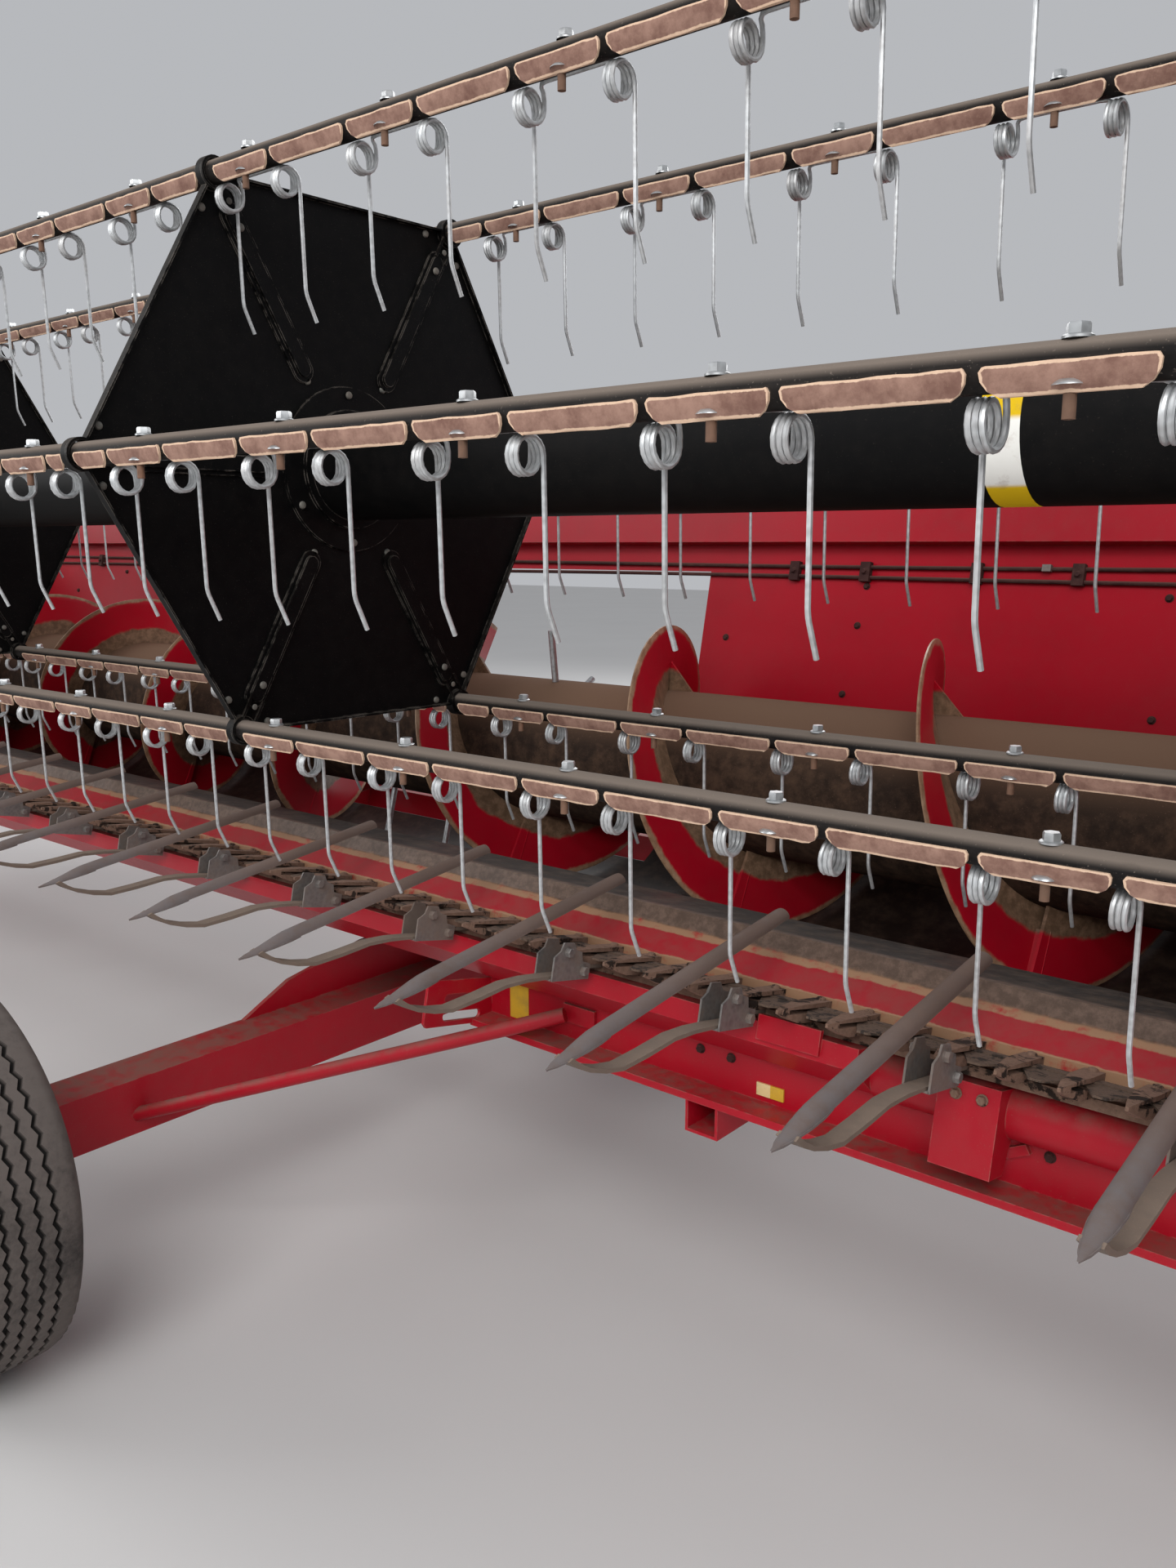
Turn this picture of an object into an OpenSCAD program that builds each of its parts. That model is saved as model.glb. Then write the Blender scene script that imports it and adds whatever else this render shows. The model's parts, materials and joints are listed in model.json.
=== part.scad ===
// Grain header of a combine harvester, parked on its transport trailer.
// X runs along the cut, -Y is the knife's side, +Z is up and the floor is Z = 0.

/* [Frame] */
// Shift along X that centres the whole outline on the origin
frame_x = 715; // [0:1:1500]
// Shift along Y that centres the whole outline on the origin
frame_y = -93; // [-300:1:300]

/* [Header] */
// Width between the two end walls
cut_w = 5490; // [4800:1:6200]
// Nose-up lean of the header as it lies on the trailer
tilt = 12; // [8:1:14]
// Knife line, from the trailer's centre
knife_y = -375; // [-400:1:-350]
// Height of the knife line
knife_z = 730; // [710:1:760]
// Thickness of the sheets
sheet_t = 4; // [3:0.5:6]
// Distance from the knife back to the sheet behind the auger
back_y = 1070; // [1065:1:1120]
// Height of the top beam's underside over the knife
top_z = 865; // [820:1:920]
// Depth of the top beam
top_d = 120; // [90:1:140]
// Height of the top beam
top_h = 80; // [60:1:110]
// Width of the feed opening
feed_w = 1150; // [900:1:1300]
// Middle of the feed opening along the cut
feed_x = 252; // [0:1:400]
// Height of the feed opening's lower edge over the knife
feed_z0 = 70; // [50:1:110]
// Height of the feed opening's upper edge over the knife
feed_z1 = 800; // [700:1:830]

/* [Auger] */
// Distance from the knife back to the auger's axis
auger_y = 751; // [745:1:765]
// Height of the auger's axis over the knife
auger_z = 314; // [312:1:330]
// Outer radius of the flights
flight_r = 303; // [280:1:306]
// Radius of the auger's tube
auger_tube_r = 162; // [120:1:180]
// Distance from one turn of flight to the next
flight_pitch = 614; // [540:1:660]
// Step where two turns are joined by a folded plate
flight_step = 25; // [15:1:35]
// First whole turn of flight from the middle of the feed opening
flight_u0 = 405; // [380:1:430]
// Running gap between flights and trough
trough_gap = 15; // [10:1:30]
// Radius of the auger's end shafts
auger_shaft_r = 25; // [20:1:32]

/* [Cutterbar] */
// Distance between guards
guard_pitch = 76.2; // [70:0.1:80]
// Length of a guard
guard_l = 130; // [120:1:140]
// Distance from the knife line back to the guards' tips
guard_y = 8; // [4:1:12]
// Width of a guard at its root
guard_w = 26; // [20:1:28]
// Place of the first guard past the middle of the cut
guard_x0 = 25.7; // [0:0.1:38]
// Thickness of the knife's back
knife_t = 5; // [4:0.5:6]
// Running gap of the knife in its guards
knife_gap = 0.8; // [0.5:0.1:1.5]
// Length of a lifter's top bar
lifter_l = 520; // [440:1:560]
// Width of a lifter's top bar
lifter_w = 36; // [28:1:40]

/* [Reel] */
// Reel axis along Y, from the trailer's centre
reel_y = -345; // [-380:1:-330]
// Height of the reel axis
reel_z = 1480; // [1470:1:1500]
// Radius of the circle of bats
bat_circle_r = 486; // [470:1:490]
// Radius of the reel's middle tube
reel_tube_r = 84; // [60:1:90]
// Radius of a bat's tube
bat_r = 17; // [14:0.5:20]
// Distance from the end wall to the outer spider
reel_end = 82.5; // [80:0.5:110]
// Distance between double tines
tine_pitch = 304.8; // [290:0.1:310]
// Distance between the two coils of a double tine
coil_gap = 137; // [120:1:150]
// Radius of a tine's wire
wire_r = 2.8; // [2:0.1:4]
// Outer radius of a coil
coil_r = 23; // [16:0.5:26]
// Depth of a coil's middle under the bat's axis
coil_drop = 45; // [40:1:55]
// Length of a tine's straight leg
leg_l = 148; // [120:1:160]
// Length of the bent tip
tip_l = 42; // [30:1:50]
// Bend of the tip
tip_bend = 24; // [10:1:35]
// Offset of the control ring from the reel axis
ring_e = 70; // [60:1:80]

/* [Arms] */
// Arm pivot along Y, from the trailer's centre
pivot_y = 925; // [900:1:940]
// Height of the arm pivot
pivot_z = 1470; // [1465:1:1490]
// Height of an arm's box
arm_h = 100; // [80:1:110]
// Width of an arm's box
arm_w = 60; // [50:1:70]
// Running gap of the reel's slides on the arms
slide_gap = 0.4; // [0.3:0.1:1]
// Gap from the end wall to an arm
arm_gap = 8; // [6:1:20]

/* [Trailer] */
// Radius of a tyre
tyre_r = 335; // [320:1:345]
// Width of a tyre
tyre_w = 195; // [165:1:215]
// Distance between the wheels
track = 2190; // [2000:1:2300]
// Middle of the track along Y
track_y = 93; // [60:1:120]
// Axle along X, from the middle of the cut
axle_x = 572; // [400:1:800]
// Width and height of the main beam
main_w = 120; // [100:1:140]
// Height of the main beam's box
main_h = 110; // [90:1:112]
// Height of the axle beam's top
axle_top = 402; // [398:1:404]
// Height of the axle beam's box
axle_h = 104; // [90:1:120]
// Length of the drawbar past the end wall
drawbar_l = 1555; // [1300:1:1800]
// Start of the front rails from the middle of the cut
rail_x0 = 1104; // [1050:1:1150]

/* [Hidden] */
$fn = 48;
RED = "firebrick";
BLACK = [0.08, 0.08, 0.09];
STEEL = "silver";
half = cut_w / 2;
feed_x0 = feed_x - feed_w / 2;
feed_x1 = feed_x + feed_w / 2;
wall_t = 5;
trough_r = flight_r + trough_gap;
arm_x = half + wall_t + arm_gap + arm_w / 2;
reel_l = cut_w - 2 * reel_end;
lifter_pitch = 4 * guard_pitch;
eye_x = half + drawbar_l;
// World Y and Z of a point given from the knife in the leaning header
function wy(y, z) = knife_y + y * cos(tilt) + z * sin(tilt);
function wz(y, z) = knife_z - y * sin(tilt) + z * cos(tilt);
// Header Y and Z of a world point
function hy(y, z) = (y - knife_y) * cos(tilt) - (z - knife_z) * sin(tilt);
function hz(y, z) = (y - knife_y) * sin(tilt) + (z - knife_z) * cos(tilt);

// Places children in the trailer's level frame
module level() translate([frame_x, frame_y, 0]) children();
// Places children in the leaning frame with its origin on the knife line
module leaning() level() translate([0, knife_y, knife_z]) rotate([-tilt, 0, 0]) children();
// Runs a Y-Z profile along X
module along_x(x0, x1) translate([x0, 0, 0]) rotate([90, 0, 90]) linear_extrude(x1 - x0) children();
// Cylinder along X
module shaft(r, x0, x1, y = 0, z = 0) translate([x0, y, z]) rotate([0, 90, 0]) cylinder(r = r, h = x1 - x0);
// Round bar between two points
module rod(a, b, r) {
  d = b - a;
  l = norm(d);
  translate(a) rotate([0, acos(d[2] / l), atan2(d[1], d[0])]) cylinder(r = r, h = l);
}
// Box-section bar between two points
module bar(a, b, w, h) {
  d = b - a;
  l = norm(d);
  translate(a) rotate([0, -asin(d[2] / l), atan2(d[1], d[0])]) translate([0, -w / 2, -h / 2]) cube([l, w, h]);
}
// Outline moved inwards by d, from points given anticlockwise
function inset(p, d) = [for (i = [0:len(p) - 1]) let (a = p[(i + len(p) - 1) % len(p)], b = p[i], c = p[(i + 1) % len(p)],
  u = (b - a) / norm(b - a), v = (c - b) / norm(c - b)) b + d * [-u[1] - v[1], u[0] + v[0]] / (1 + u * v)];
// Slot with round ends along the first axis of a sketch
module capsule(x0, x1, r) {
  translate([x0, -r]) square([x1 - x0, 2 * r]);
  for (x = [x0, x1]) translate([x, 0]) circle(r);
}
// Box from one corner to the other
module block(a, b) translate(a) cube(b - a);

// Header body
module hollow_box(y0, z0, w, h, t) difference() {
  translate([y0, z0]) square([w, h]);
  translate([y0 + t, z0 + t]) square([w - 2 * t, h - 2 * t]);
}
beam_y0 = back_y - 40;
low_y0 = back_y + 10;
low_z0 = 20;
low_s = 100;
upright_xs = [-half + 40, -half / 2 - 60, feed_x0 - 40, feed_x1 + 40, (feed_x1 + half) / 2, half - 40];
hitch_xs = [feed_x0 - 62, feed_x0 - 30, feed_x1 + 18, feed_x1 + 50];
lock_p = [low_y0 + low_s + 68, 65];
module back_frame() {
  leaning() color(RED) {
    along_x(-half, half) hollow_box(beam_y0, top_z, top_d, top_h, 5);
    along_x(-half, half) hollow_box(low_y0, low_z0, low_s, low_s, 6);
    // channel uprights, open to the back, seated between the beams; the first three carry the shaft's bearings
    for (i = [0:5]) translate([upright_xs[i], 0, 0]) {
      difference() {
        block([-40, back_y + sheet_t, low_z0 + low_s + 0.3], [40, back_y + sheet_t + 70, top_z - 0.3]);
        block([-34, back_y + sheet_t + 6, low_z0 + low_s + 8], [34, back_y + sheet_t + 71, top_z - 8]);
      }
      if (i < 3) along_x(-6, 6) difference() {
        polygon([[back_y + sheet_t + 4, 440], [back_y + sheet_t + 70, 440], [back_y + 160, 480], [back_y + 160, 520], [back_y + sheet_t + 70, 560], [back_y + sheet_t + 4, 560]]);
        translate([back_y + 130, 500]) circle(20.4);
      }
    }
    // hooks over the combine's front and lugs for its lock pins
    for (x = hitch_xs) along_x(x, x + 12) {
      difference() {
        polygon([[low_y0 + low_s - 2, low_z0 + 5], [low_y0 + low_s + 96, low_z0 + 5], [low_y0 + low_s + 110, low_z0 + 20], [low_y0 + low_s + 110, low_z0 + 60], [low_y0 + low_s + 80, low_z0 + 90], [low_y0 + low_s - 2, low_z0 + 90]]);
        translate(lock_p) circle(16);
      }
      polygon([[beam_y0 + top_d - 2, top_z + 6], [beam_y0 + top_d + 30, top_z + 6], [beam_y0 + top_d + 30, top_z + 44], [beam_y0 + top_d + 78, top_z + 44],
        [beam_y0 + top_d + 78, top_z - 20], [beam_y0 + top_d + 104, top_z - 20], [beam_y0 + top_d + 104, top_z + 52], [beam_y0 + top_d + 80, top_z + top_h - 6], [beam_y0 + top_d - 2, top_z + top_h - 6]]);
    }
  }
  level() color(RED) for (x = [-half + 60, 0, half - 60]) difference() {
    along_x(x - 20, x + 20) polygon([[wy(beam_y0 + 6, top_z + top_h - 1), wz(beam_y0 + 6, top_z + top_h - 1)], [wy(beam_y0 + top_d - 6, top_z + top_h - 1), wz(beam_y0 + top_d - 6, top_z + top_h - 1)],
      [pivot_y + 45, pivot_z], [pivot_y + 30, pivot_z + 40], [pivot_y - 30, pivot_z + 40], [pivot_y - 45, pivot_z]]);
    shaft(30.5, x - 21, x + 21, pivot_y, pivot_z);
  }
}

sheet_z0 = auger_z - 52;
module back_sheets() leaning() color(RED) difference() {
  block([-half, back_y, sheet_z0], [half, back_y + sheet_t, top_z]);
  block([feed_x0, back_y - 1, sheet_z0 - 1], [feed_x1, back_y + sheet_t + 1, feed_z1]);
}

// Lip and floor in front of the auger
lip_y = 330;
lip_z = 90;
strip_y = 200;
lip_d = norm([auger_y - lip_y, auger_z - lip_z]);
lip_a = atan2(auger_z - lip_z, auger_y - lip_y) - asin(trough_r / lip_d);
lip_run = sqrt(lip_d * lip_d - trough_r * trough_r);
tan_y = lip_y + lip_run * cos(lip_a);
tan_z = lip_z + lip_run * sin(lip_a);
bar_top = -13.5;
step_y = strip_y - 10;
function lip(y) = 82 + (y - strip_y) * (lip_z - 82) / (lip_y - strip_y);
module trough_2d() {
  t = sheet_t;
  y0 = guard_y + guard_l + 2;
  polygon([[y0 + 23, bar_top + 0.3], [y0, bar_top + 0.3], [y0, 14], [step_y, 56], [strip_y, 82], [lip_y, lip_z], [tan_y, tan_z],
    [tan_y + t * sin(lip_a), tan_z - t * cos(lip_a)], [lip_y + t * sin(lip_a), lip_z - t],
    [strip_y + t, 82 - t], [step_y + t, 56 - t], [y0 + t, 14 - t / 2], [y0 + t, bar_top + 0.3 + t], [y0 + 23, bar_top + 0.3 + t]]);
  intersection() {
    translate([auger_y, auger_z]) difference() { circle(trough_r + t, $fn = 96); circle(trough_r, $fn = 96); }
    polygon([[tan_y, tan_z], [auger_y, auger_z], [back_y, sheet_z0], [back_y, -60], [tan_y + t * sin(lip_a) * 4, tan_z - t * cos(lip_a) * 4]]);
  }
}
module trough() leaning() color(RED) difference() {
  along_x(-half, half) trough_2d();
  block([feed_x0, auger_y + 100, feed_z0], [feed_x1, back_y + 20, feed_z1]);
}

rib_z = -40;
support_xs = [-0.674 * half, -0.4 * half, 0.547 * half, 0.773 * half];
rib_xs = [-half + 4, support_xs[0], support_xs[1], feed_x0 - 30, feed_x1 + 30, support_xs[2], support_xs[3], half - 12];
module floor_ribs() leaning() color(RED) for (x = rib_xs) along_x(x, x + 8) difference() {
  t = sheet_t + 0.3;
  polygon([[215.3, -28], [215.3, lip(215.3) - t], [lip_y, lip_z - t], [tan_y + t * sin(lip_a), tan_z - t * cos(lip_a)], [auger_y, auger_z - trough_r - 5], [auger_y + 200, auger_z - trough_r + 60],
    [low_y0 - 0.3, low_z0 + low_s - 10], [low_y0 - 0.3, low_z0], [950, rib_z], [500, rib_z], [215.3, -90]]);
  translate([auger_y, auger_z]) circle(trough_r + t, $fn = 96);
}

tube_y = 147;
tube_z = -66.5;
tube_r = 38;
tube_x0 = half - 855;
FRONT = [[64, -60], [130, -98], [215, -98], [215, -28], [64, -28]];
module front_beam() leaning() color(RED) {
  along_x(-half, tube_x0 - 20) difference() { polygon(FRONT); polygon(inset(FRONT, 5)); }
  along_x(tube_x0 - 22, tube_x0 - 12) polygon(FRONT);
  difference() {
    shaft(tube_r, tube_x0 - 13, half, tube_y, tube_z);
    shaft(tube_r - 5, tube_x0 - 5, half + 1, tube_y, tube_z);
  }
  // small plate, and the bracket with two bolts near the tube's end
  block([tube_x0 - 168, 58, -52], [tube_x0 - 68, 66, -16]);
  block([tube_x0 + 95, 84, -150], [tube_x0 + 178, 90, -34]);
  for (x = [tube_x0 + 95, tube_x0 + 172]) along_x(x, x + 6) polygon([[84, -150], [128, -150], [146, -100], [146, -36], [84, -34]]);
}

module end_walls() {
  leaning() color(RED) for (s = [-1, 1]) difference() {
    along_x(s > 0 ? half : -half - wall_t, s > 0 ? half + wall_t : -half)
      polygon([[-60, -60], [-60, 50], [160, 300], [620, 640], [beam_y0, top_z + top_h], [low_y0 + low_s, top_z + top_h],
        [low_y0 + low_s, low_z0], [950, rib_z], [500, rib_z], [150, -110], [60, -110]]);
    shaft(auger_shaft_r + 0.5, s > 0 ? half - 1 : -half - wall_t - 1, s > 0 ? half + wall_t + 1 : -half + 1, auger_y, auger_z);
    if (s < 0) block([-half - wall_t - 1, knife_by - 6, -5], [-half + 1, knife_by + 26, knife_t + 5]);
  }
  // pins of the lift cylinders
  level() color(RED) for (s = [-1, 1]) {
    x = s * (half + wall_t - 1);
    shaft(pin_r, min(x, s * (arm_x + 22)), max(x, s * (arm_x + 22)), base_p[0], base_p[1]);
    shaft(16, min(x, s * (arm_x - 13)), max(x, s * (arm_x - 13)), base_p[0], base_p[1]);
  }
}

nose_l = 560;
nose_w = 60;
module dividers() leaning() color(RED) for (s = [-1, 1]) translate([s * (half + wall_t + 0.3), 0, 0]) intersection() {
  translate([-nose_w, 0, 0]) along_x(0, 2 * nose_w)
    polygon([[-nose_l, -48], [-nose_l + 60, -70], [-60, -100], [60, -110], [60, 196], [-40, 75], [-300, 20], [-nose_l + 10, -30]]);
  translate([0, 0, -200]) linear_extrude(600)
    polygon([[0, -nose_l], [s * 12, -nose_l], [s * 40, -400], [s * nose_w, -180], [s * nose_w, 60], [0, 60]]);
}

guard_n = floor(half / guard_pitch) - 1;
knife_by = guard_y + 93;
guard_y1 = guard_y + guard_l;
module cutterbar() leaning() color("dimgray") {
  block([-half, guard_y + 85, -27.7], [half, guard_y + 155, bar_top]);
  difference() {
    intersection() {
      along_x(-half, half) polygon([[guard_y, 1], [guard_y + 48, -14], [guard_y1, -14], [guard_y1, 12], [guard_y + 60, 12], [guard_y + 20, 9], [guard_y, 6]]);
      translate([0, 0, -30]) linear_extrude(60) for (i = [-guard_n:guard_n - 1]) translate([guard_x0 + i * guard_pitch, 0])
        polygon([[-guard_w / 2, guard_y1 + 1], [-guard_w / 2, guard_y + 75], [-7, guard_y + 22], [-2, guard_y], [2, guard_y], [7, guard_y + 22], [guard_w / 2, guard_y + 75], [guard_w / 2, guard_y1 + 1]]);
    }
    block([-half, guard_y + 22, -knife_gap], [half, knife_by + 22, knife_t + knife_gap]);
  }
}

// Knife back and sections; its left end passes the wall into the drive's cover
module knife() leaning() color("slategray") {
  block([-half - wall_t - 50, knife_by, 0], [half - 60, knife_by + 20, knife_t]);
  linear_extrude(3) for (i = [-guard_n:guard_n - 2])
    translate([guard_x0 + (i + 0.5) * guard_pitch, 0]) polygon([[-37, knife_by + 2], [-37, knife_by - 8], [-8, guard_y + 27], [8, guard_y + 27], [37, knife_by - 8], [37, knife_by + 2]]);
}

lifter_n = floor((half - 60) / lifter_pitch);
lifter_x0 = guard_x0 + 2 * guard_pitch;
bar_a = 19.3;
module crop_lifter() {
  w = lifter_w / 2;
  translate([0, -371, -53]) rotate([bar_a, 0, 0]) {
    // half-round bar, cut to a point in plan and in side view
    intersection() {
      translate([0, lifter_l, 0]) rotate([90, 0, 0]) linear_extrude(lifter_l) difference() {
        circle(w); circle(w - 3); translate([-50, -100]) square([100, 100]);
      }
      translate([0, 0, -30]) linear_extrude(60) polygon([[0, 0], [-w - 1, 100], [-w - 1, lifter_l + 1], [w + 1, lifter_l + 1], [w + 1, 100]]);
      along_x(-w - 1, w + 1) polygon([[0, -1], [lifter_l + 1, -1], [lifter_l + 1, w + 1], [95, w + 1], [0, 3]]);
    }
    translate([0, 0, -2]) linear_extrude(4) polygon([[0, 0], [-w, 98], [-w, 112], [w, 112], [w, 98]]);
  }
  // strap back under the guard
  along_x(-15, 15) polygon([[-342, -43], [-302, -63], [-235, -67], [-130, -39], [-40, -31.7], [28, -31.3], [guard_y + 48, -19.3], [guard_y + 80, -19.3],
    [guard_y + 80, -14.3], [guard_y + 50, -14.3], [30, -26.3], [-40, -26.7], [-130, -34], [-235, -62], [-300, -58], [-330, -39]]);
  // clamp with stepped side plates
  block([-18, -38, -34.3], [18, 40, -31]);
  for (x = [-18, 15]) along_x(x, x + 3) difference() {
    polygon([[-38, -34.3], [50, -34.3], [50, -8], [28, -5], [26, 10], [10, 14], [4, 25], [-20, 25], [-24, 12], [-38, 4]]);
    translate([-8, 10]) circle(6);
    translate([34, -20]) circle(5);
  }
}
module crop_lifters() leaning() color("lightgray") for (i = [-lifter_n:lifter_n - 1]) translate([lifter_x0 + i * lifter_pitch, 0, 0]) crop_lifter();

module pipes() leaning() color(BLACK) for (z = [0, 26]) shaft(6, -half + 60, half - 60, back_y - 6.3, top_z - 75 + z);

COVER = [[66, -95], [200, -100], [700, -30], [900, 60], [950, 250], [1250, 430], [1250, 600], [1100, 600], [850, 420], [560, 420], [66, 150]];
module drive_cover() leaning() color(RED) {
  x1 = -half - wall_t - 0.3;
  along_x(x1 - 110, x1) difference() { polygon(COVER); polygon(inset(COVER, 4)); }
  along_x(x1 - 112, x1 - 108) polygon(COVER);
}

module drive_shaft() leaning() color(STEEL) {
  shaft(20, -half - wall_t - 100, feed_x0 - 100, back_y + 130, 500);
  shaft(32, feed_x0 - 101, feed_x0 - 82, back_y + 130, 500);
}

// Auger
module auger_tube() leaning() color("saddlebrown") translate([0, auger_y, auger_z]) {
  difference() { shaft(auger_tube_r, -half + 30, half - 30); shaft(auger_tube_r - 5, -half + 35, half - 35); }
  shaft(auger_shaft_r, -half - wall_t - 40, -half + 31);
  shaft(auger_shaft_r, half - 31, half + wall_t + 40);
}
flight_x0 = half - 36;
flight_run = flight_pitch - flight_step;
joint_a = 252;
// One turn: starts at angle a0 and at u0 from the feed's middle, and runs 10 degrees past the next one's start
module turn(u0, len, a0) translate([u0, 0, 0]) rotate([0, 90, 0]) rotate(a0 + 90 - 1.8)
  linear_extrude(len, twist = -360 * len / flight_run, slices = ceil(len / flight_run * 32), $fn = 4)
    polygon([[auger_tube_r - 1, 0], [flight_r, 0], [flight_r * cos(3.6), flight_r * sin(3.6)], [(auger_tube_r - 1) * cos(3.6), (auger_tube_r - 1) * sin(3.6)]]);
module flights(len) {
  over = flight_run / 36;
  turn(flight_u0 - flight_pitch + flight_run / 2, flight_run / 2 + over, joint_a + 180);
  for (k = [0:floor((len - flight_u0 - 60) / flight_pitch)]) {
    u = flight_u0 + k * flight_pitch;
    turn(u, min(flight_run + over, len - u), joint_a);
    // folded plate at the joint
    rotate([joint_a + 5, 0, 0]) block([u - flight_step + over / 2 - 3, auger_tube_r + 40, -3], [u + over / 2 + 3, flight_r - 5, 3]);
  }
  // gussets on the tube
  for (k = [-1:floor((len - flight_u0 - 410) / flight_pitch)]) {
    u = flight_u0 + k * flight_pitch + flight_run * (455 - joint_a) / 360;
    rotate([95, 0, 0]) translate([0, 0, -3]) linear_extrude(6) polygon([[u - 1, auger_tube_r - 0.5], [u + 66, auger_tube_r - 0.5], [u - 1, auger_tube_r + 66]]);
  }
}
module auger_flights() leaning() color(RED) translate([feed_x, auger_y, auger_z]) {
  flights(flight_x0 - feed_x);
  mirror([1, 0, 0]) flights(flight_x0 + feed_x);
}
// Fingers stand opposite the flight
finger_n = 9;
module auger_fingers() leaning() color(STEEL) translate([feed_x, auger_y, auger_z]) for (i = [0:finger_n - 1]) {
  u = (i - (finger_n - 1) / 2) * 110;
  translate([u, 0, 0]) rotate([joint_a - 270 + (abs(u) + flight_pitch - flight_u0) / flight_run * 360, 0, 0]) translate([0, 0, auger_tube_r + 0.3]) cylinder(r = 8, h = 120);
}

// Reel
spider_x = [-reel_l / 2, -reel_l / 6, reel_l / 6, reel_l / 2];
module at_reel() level() translate([0, reel_y, reel_z]) children();
module reel_tube() at_reel() color(BLACK) {
  difference() { shaft(reel_tube_r, -half + 50, half - 50); shaft(reel_tube_r - 5, -half + 54, half - 54); }
  shaft(30, -half - 2, -half + 52);
  shaft(30, half - 52, half + 2);
}
hex_r = bat_circle_r + 4;
module bat_holes(r) for (a = [0:60:300]) rotate(a) translate([bat_circle_r, 0]) circle(r);
module spider() rotate([90, 0, 90]) {
  // pressed plate with a folded rim and a ring round each bat
  linear_extrude(4) difference() {
    union() { circle(hex_r, $fn = 6); bat_holes(bat_r + 7); }
    circle(reel_tube_r + 0.3, $fn = 96);
    bat_holes(bat_r + 1);
  }
  linear_extrude(14) difference() {
    union() { difference() { circle(hex_r, $fn = 6); circle(hex_r - 4, $fn = 6); } bat_holes(bat_r + 7); }
    bat_holes(bat_r + 1);
  }
  // raised ribs and hub
  for (a = [0:60:300]) rotate(a) {
    linear_extrude(8) capsule(178, bat_circle_r - 62, 19);
    linear_extrude(13) capsule(180, bat_circle_r - 64, 12);
  }
  linear_extrude(9) difference() { circle(reel_tube_r + 52); circle(reel_tube_r + 0.3, $fn = 96); }
  linear_extrude(16) difference() { circle(reel_tube_r + 14); circle(reel_tube_r + 0.3, $fn = 96); }
}
module reel_spiders() at_reel() color(BLACK) for (x = spider_x) translate([x - 2, 0, 0]) spider();

// Each bat: its angle round the reel and the offset of its tines
BATS = [[120, 32], [180, 110], [240, 32], [300, 110], [0, 32], [60, 110]]; // [angle, tine offset]
span = reel_l / 3;
tine_n = floor((span - 60 - coil_gap) / tine_pitch) + 1;
// Place of tine k in panel p from the panel's left spider, for the offset o
function tine_x(p, k, o) = p == 2 ? min(o + k * tine_pitch, 32 + (tine_n - 1) * tine_pitch) : max(span + o - tine_pitch * (tine_n - k), 32);
module wire(l) cylinder(r = wire_r, h = l, $fn = 8);
module tine(dir) {
  translate([0, 10, -coil_drop]) difference() { shaft(coil_r, -12, 12); shaft(coil_r - 5.5, -13, 13); }
  // the leg leaves the coil's rear side, and its tip bends back
  translate([dir * 8.7, 10 + coil_r - wire_r - 0.3, -coil_drop]) rotate([181.3, 0, 0]) {
    wire(leg_l);
    translate([0, 0, leg_l - 1]) rotate([tip_bend, 0, 0]) wire(tip_l);
  }
}
module flap(x0, x1) {
  c = min(34, (x1 - x0) / 3);
  translate([0, 4, 0]) rotate([90, 0, 0]) linear_extrude(4) polygon([[x0, -14.5], [x0, -21], [x0 + c / 4, -21.5], [x0 + c, -42], [x1 - c, -42], [x1 - c / 4, -21.5], [x1, -21], [x1, -14.5]]);
}
module bat(i) {
  a = BATS[i][0];
  at_reel() translate([0, bat_circle_r * cos(a), bat_circle_r * sin(a)]) {
    color(BLACK) shaft(bat_r, -half + 42, half - 42);
    for (p = [0:2]) translate([spider_x[p], 0, 0]) {
      xs = [for (k = [0:tine_n - 1]) tine_x(p, k, BATS[i][1])];
      for (x = xs) {
        color(STEEL) {
          translate([x, 0, 0]) tine(-1);
          translate([x + coil_gap, 0, 0]) tine(1);
          block([x + 4, 10 - wire_r, -coil_drop + coil_r - 3], [x + coil_gap - 4, 10 + wire_r, -bat_r + 4]);
        }
        color("tan") flap(x + 5, x + coil_gap - 5);
      }
      // plain flaps between the tines and up to the spiders
      color("tan") for (k = [0:tine_n]) {
        x0 = k == 0 ? 20 : xs[k - 1] + coil_gap + 5;
        x1 = k == tine_n ? span - 9 : xs[k] - 5;
        if (x1 - x0 > 40) flap(x0, x1);
      }
    }
    // crank to the control ring
    color(BLACK) {
      shaft(22, half - 42, half - 34);
      shaft(14, half - 42, half - 34, 0, -ring_e);
      block([half - 42, -14, -ring_e], [half - 34, 14, 0]);
      shaft(8, half - 34, half - 18, 0, -ring_e);
    }
  }
}
module bat_1() bat(0);
module bat_2() bat(1);
module bat_3() bat(2);
module bat_4() bat(3);
module bat_5() bat(4);
module bat_6() bat(5);

disc_r = 110;
module control_ring() at_reel() color(BLACK) translate([half - 31, 0, -ring_e]) rotate([90, 0, 90]) linear_extrude(8) difference() {
  union() {
    circle(disc_r + 25);
    difference() { circle(bat_circle_r + 16, $fn = 6); circle(bat_circle_r - 26, $fn = 6); }
    for (a = [0:60:300]) rotate(a) translate([disc_r + 12, -14]) square([bat_circle_r - disc_r - 24, 28]);
  }
  circle(disc_r + 0.5, $fn = 96);
  for (a = [0:60:300]) rotate(a) translate([bat_circle_r, 0]) circle(8.4);
}

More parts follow.
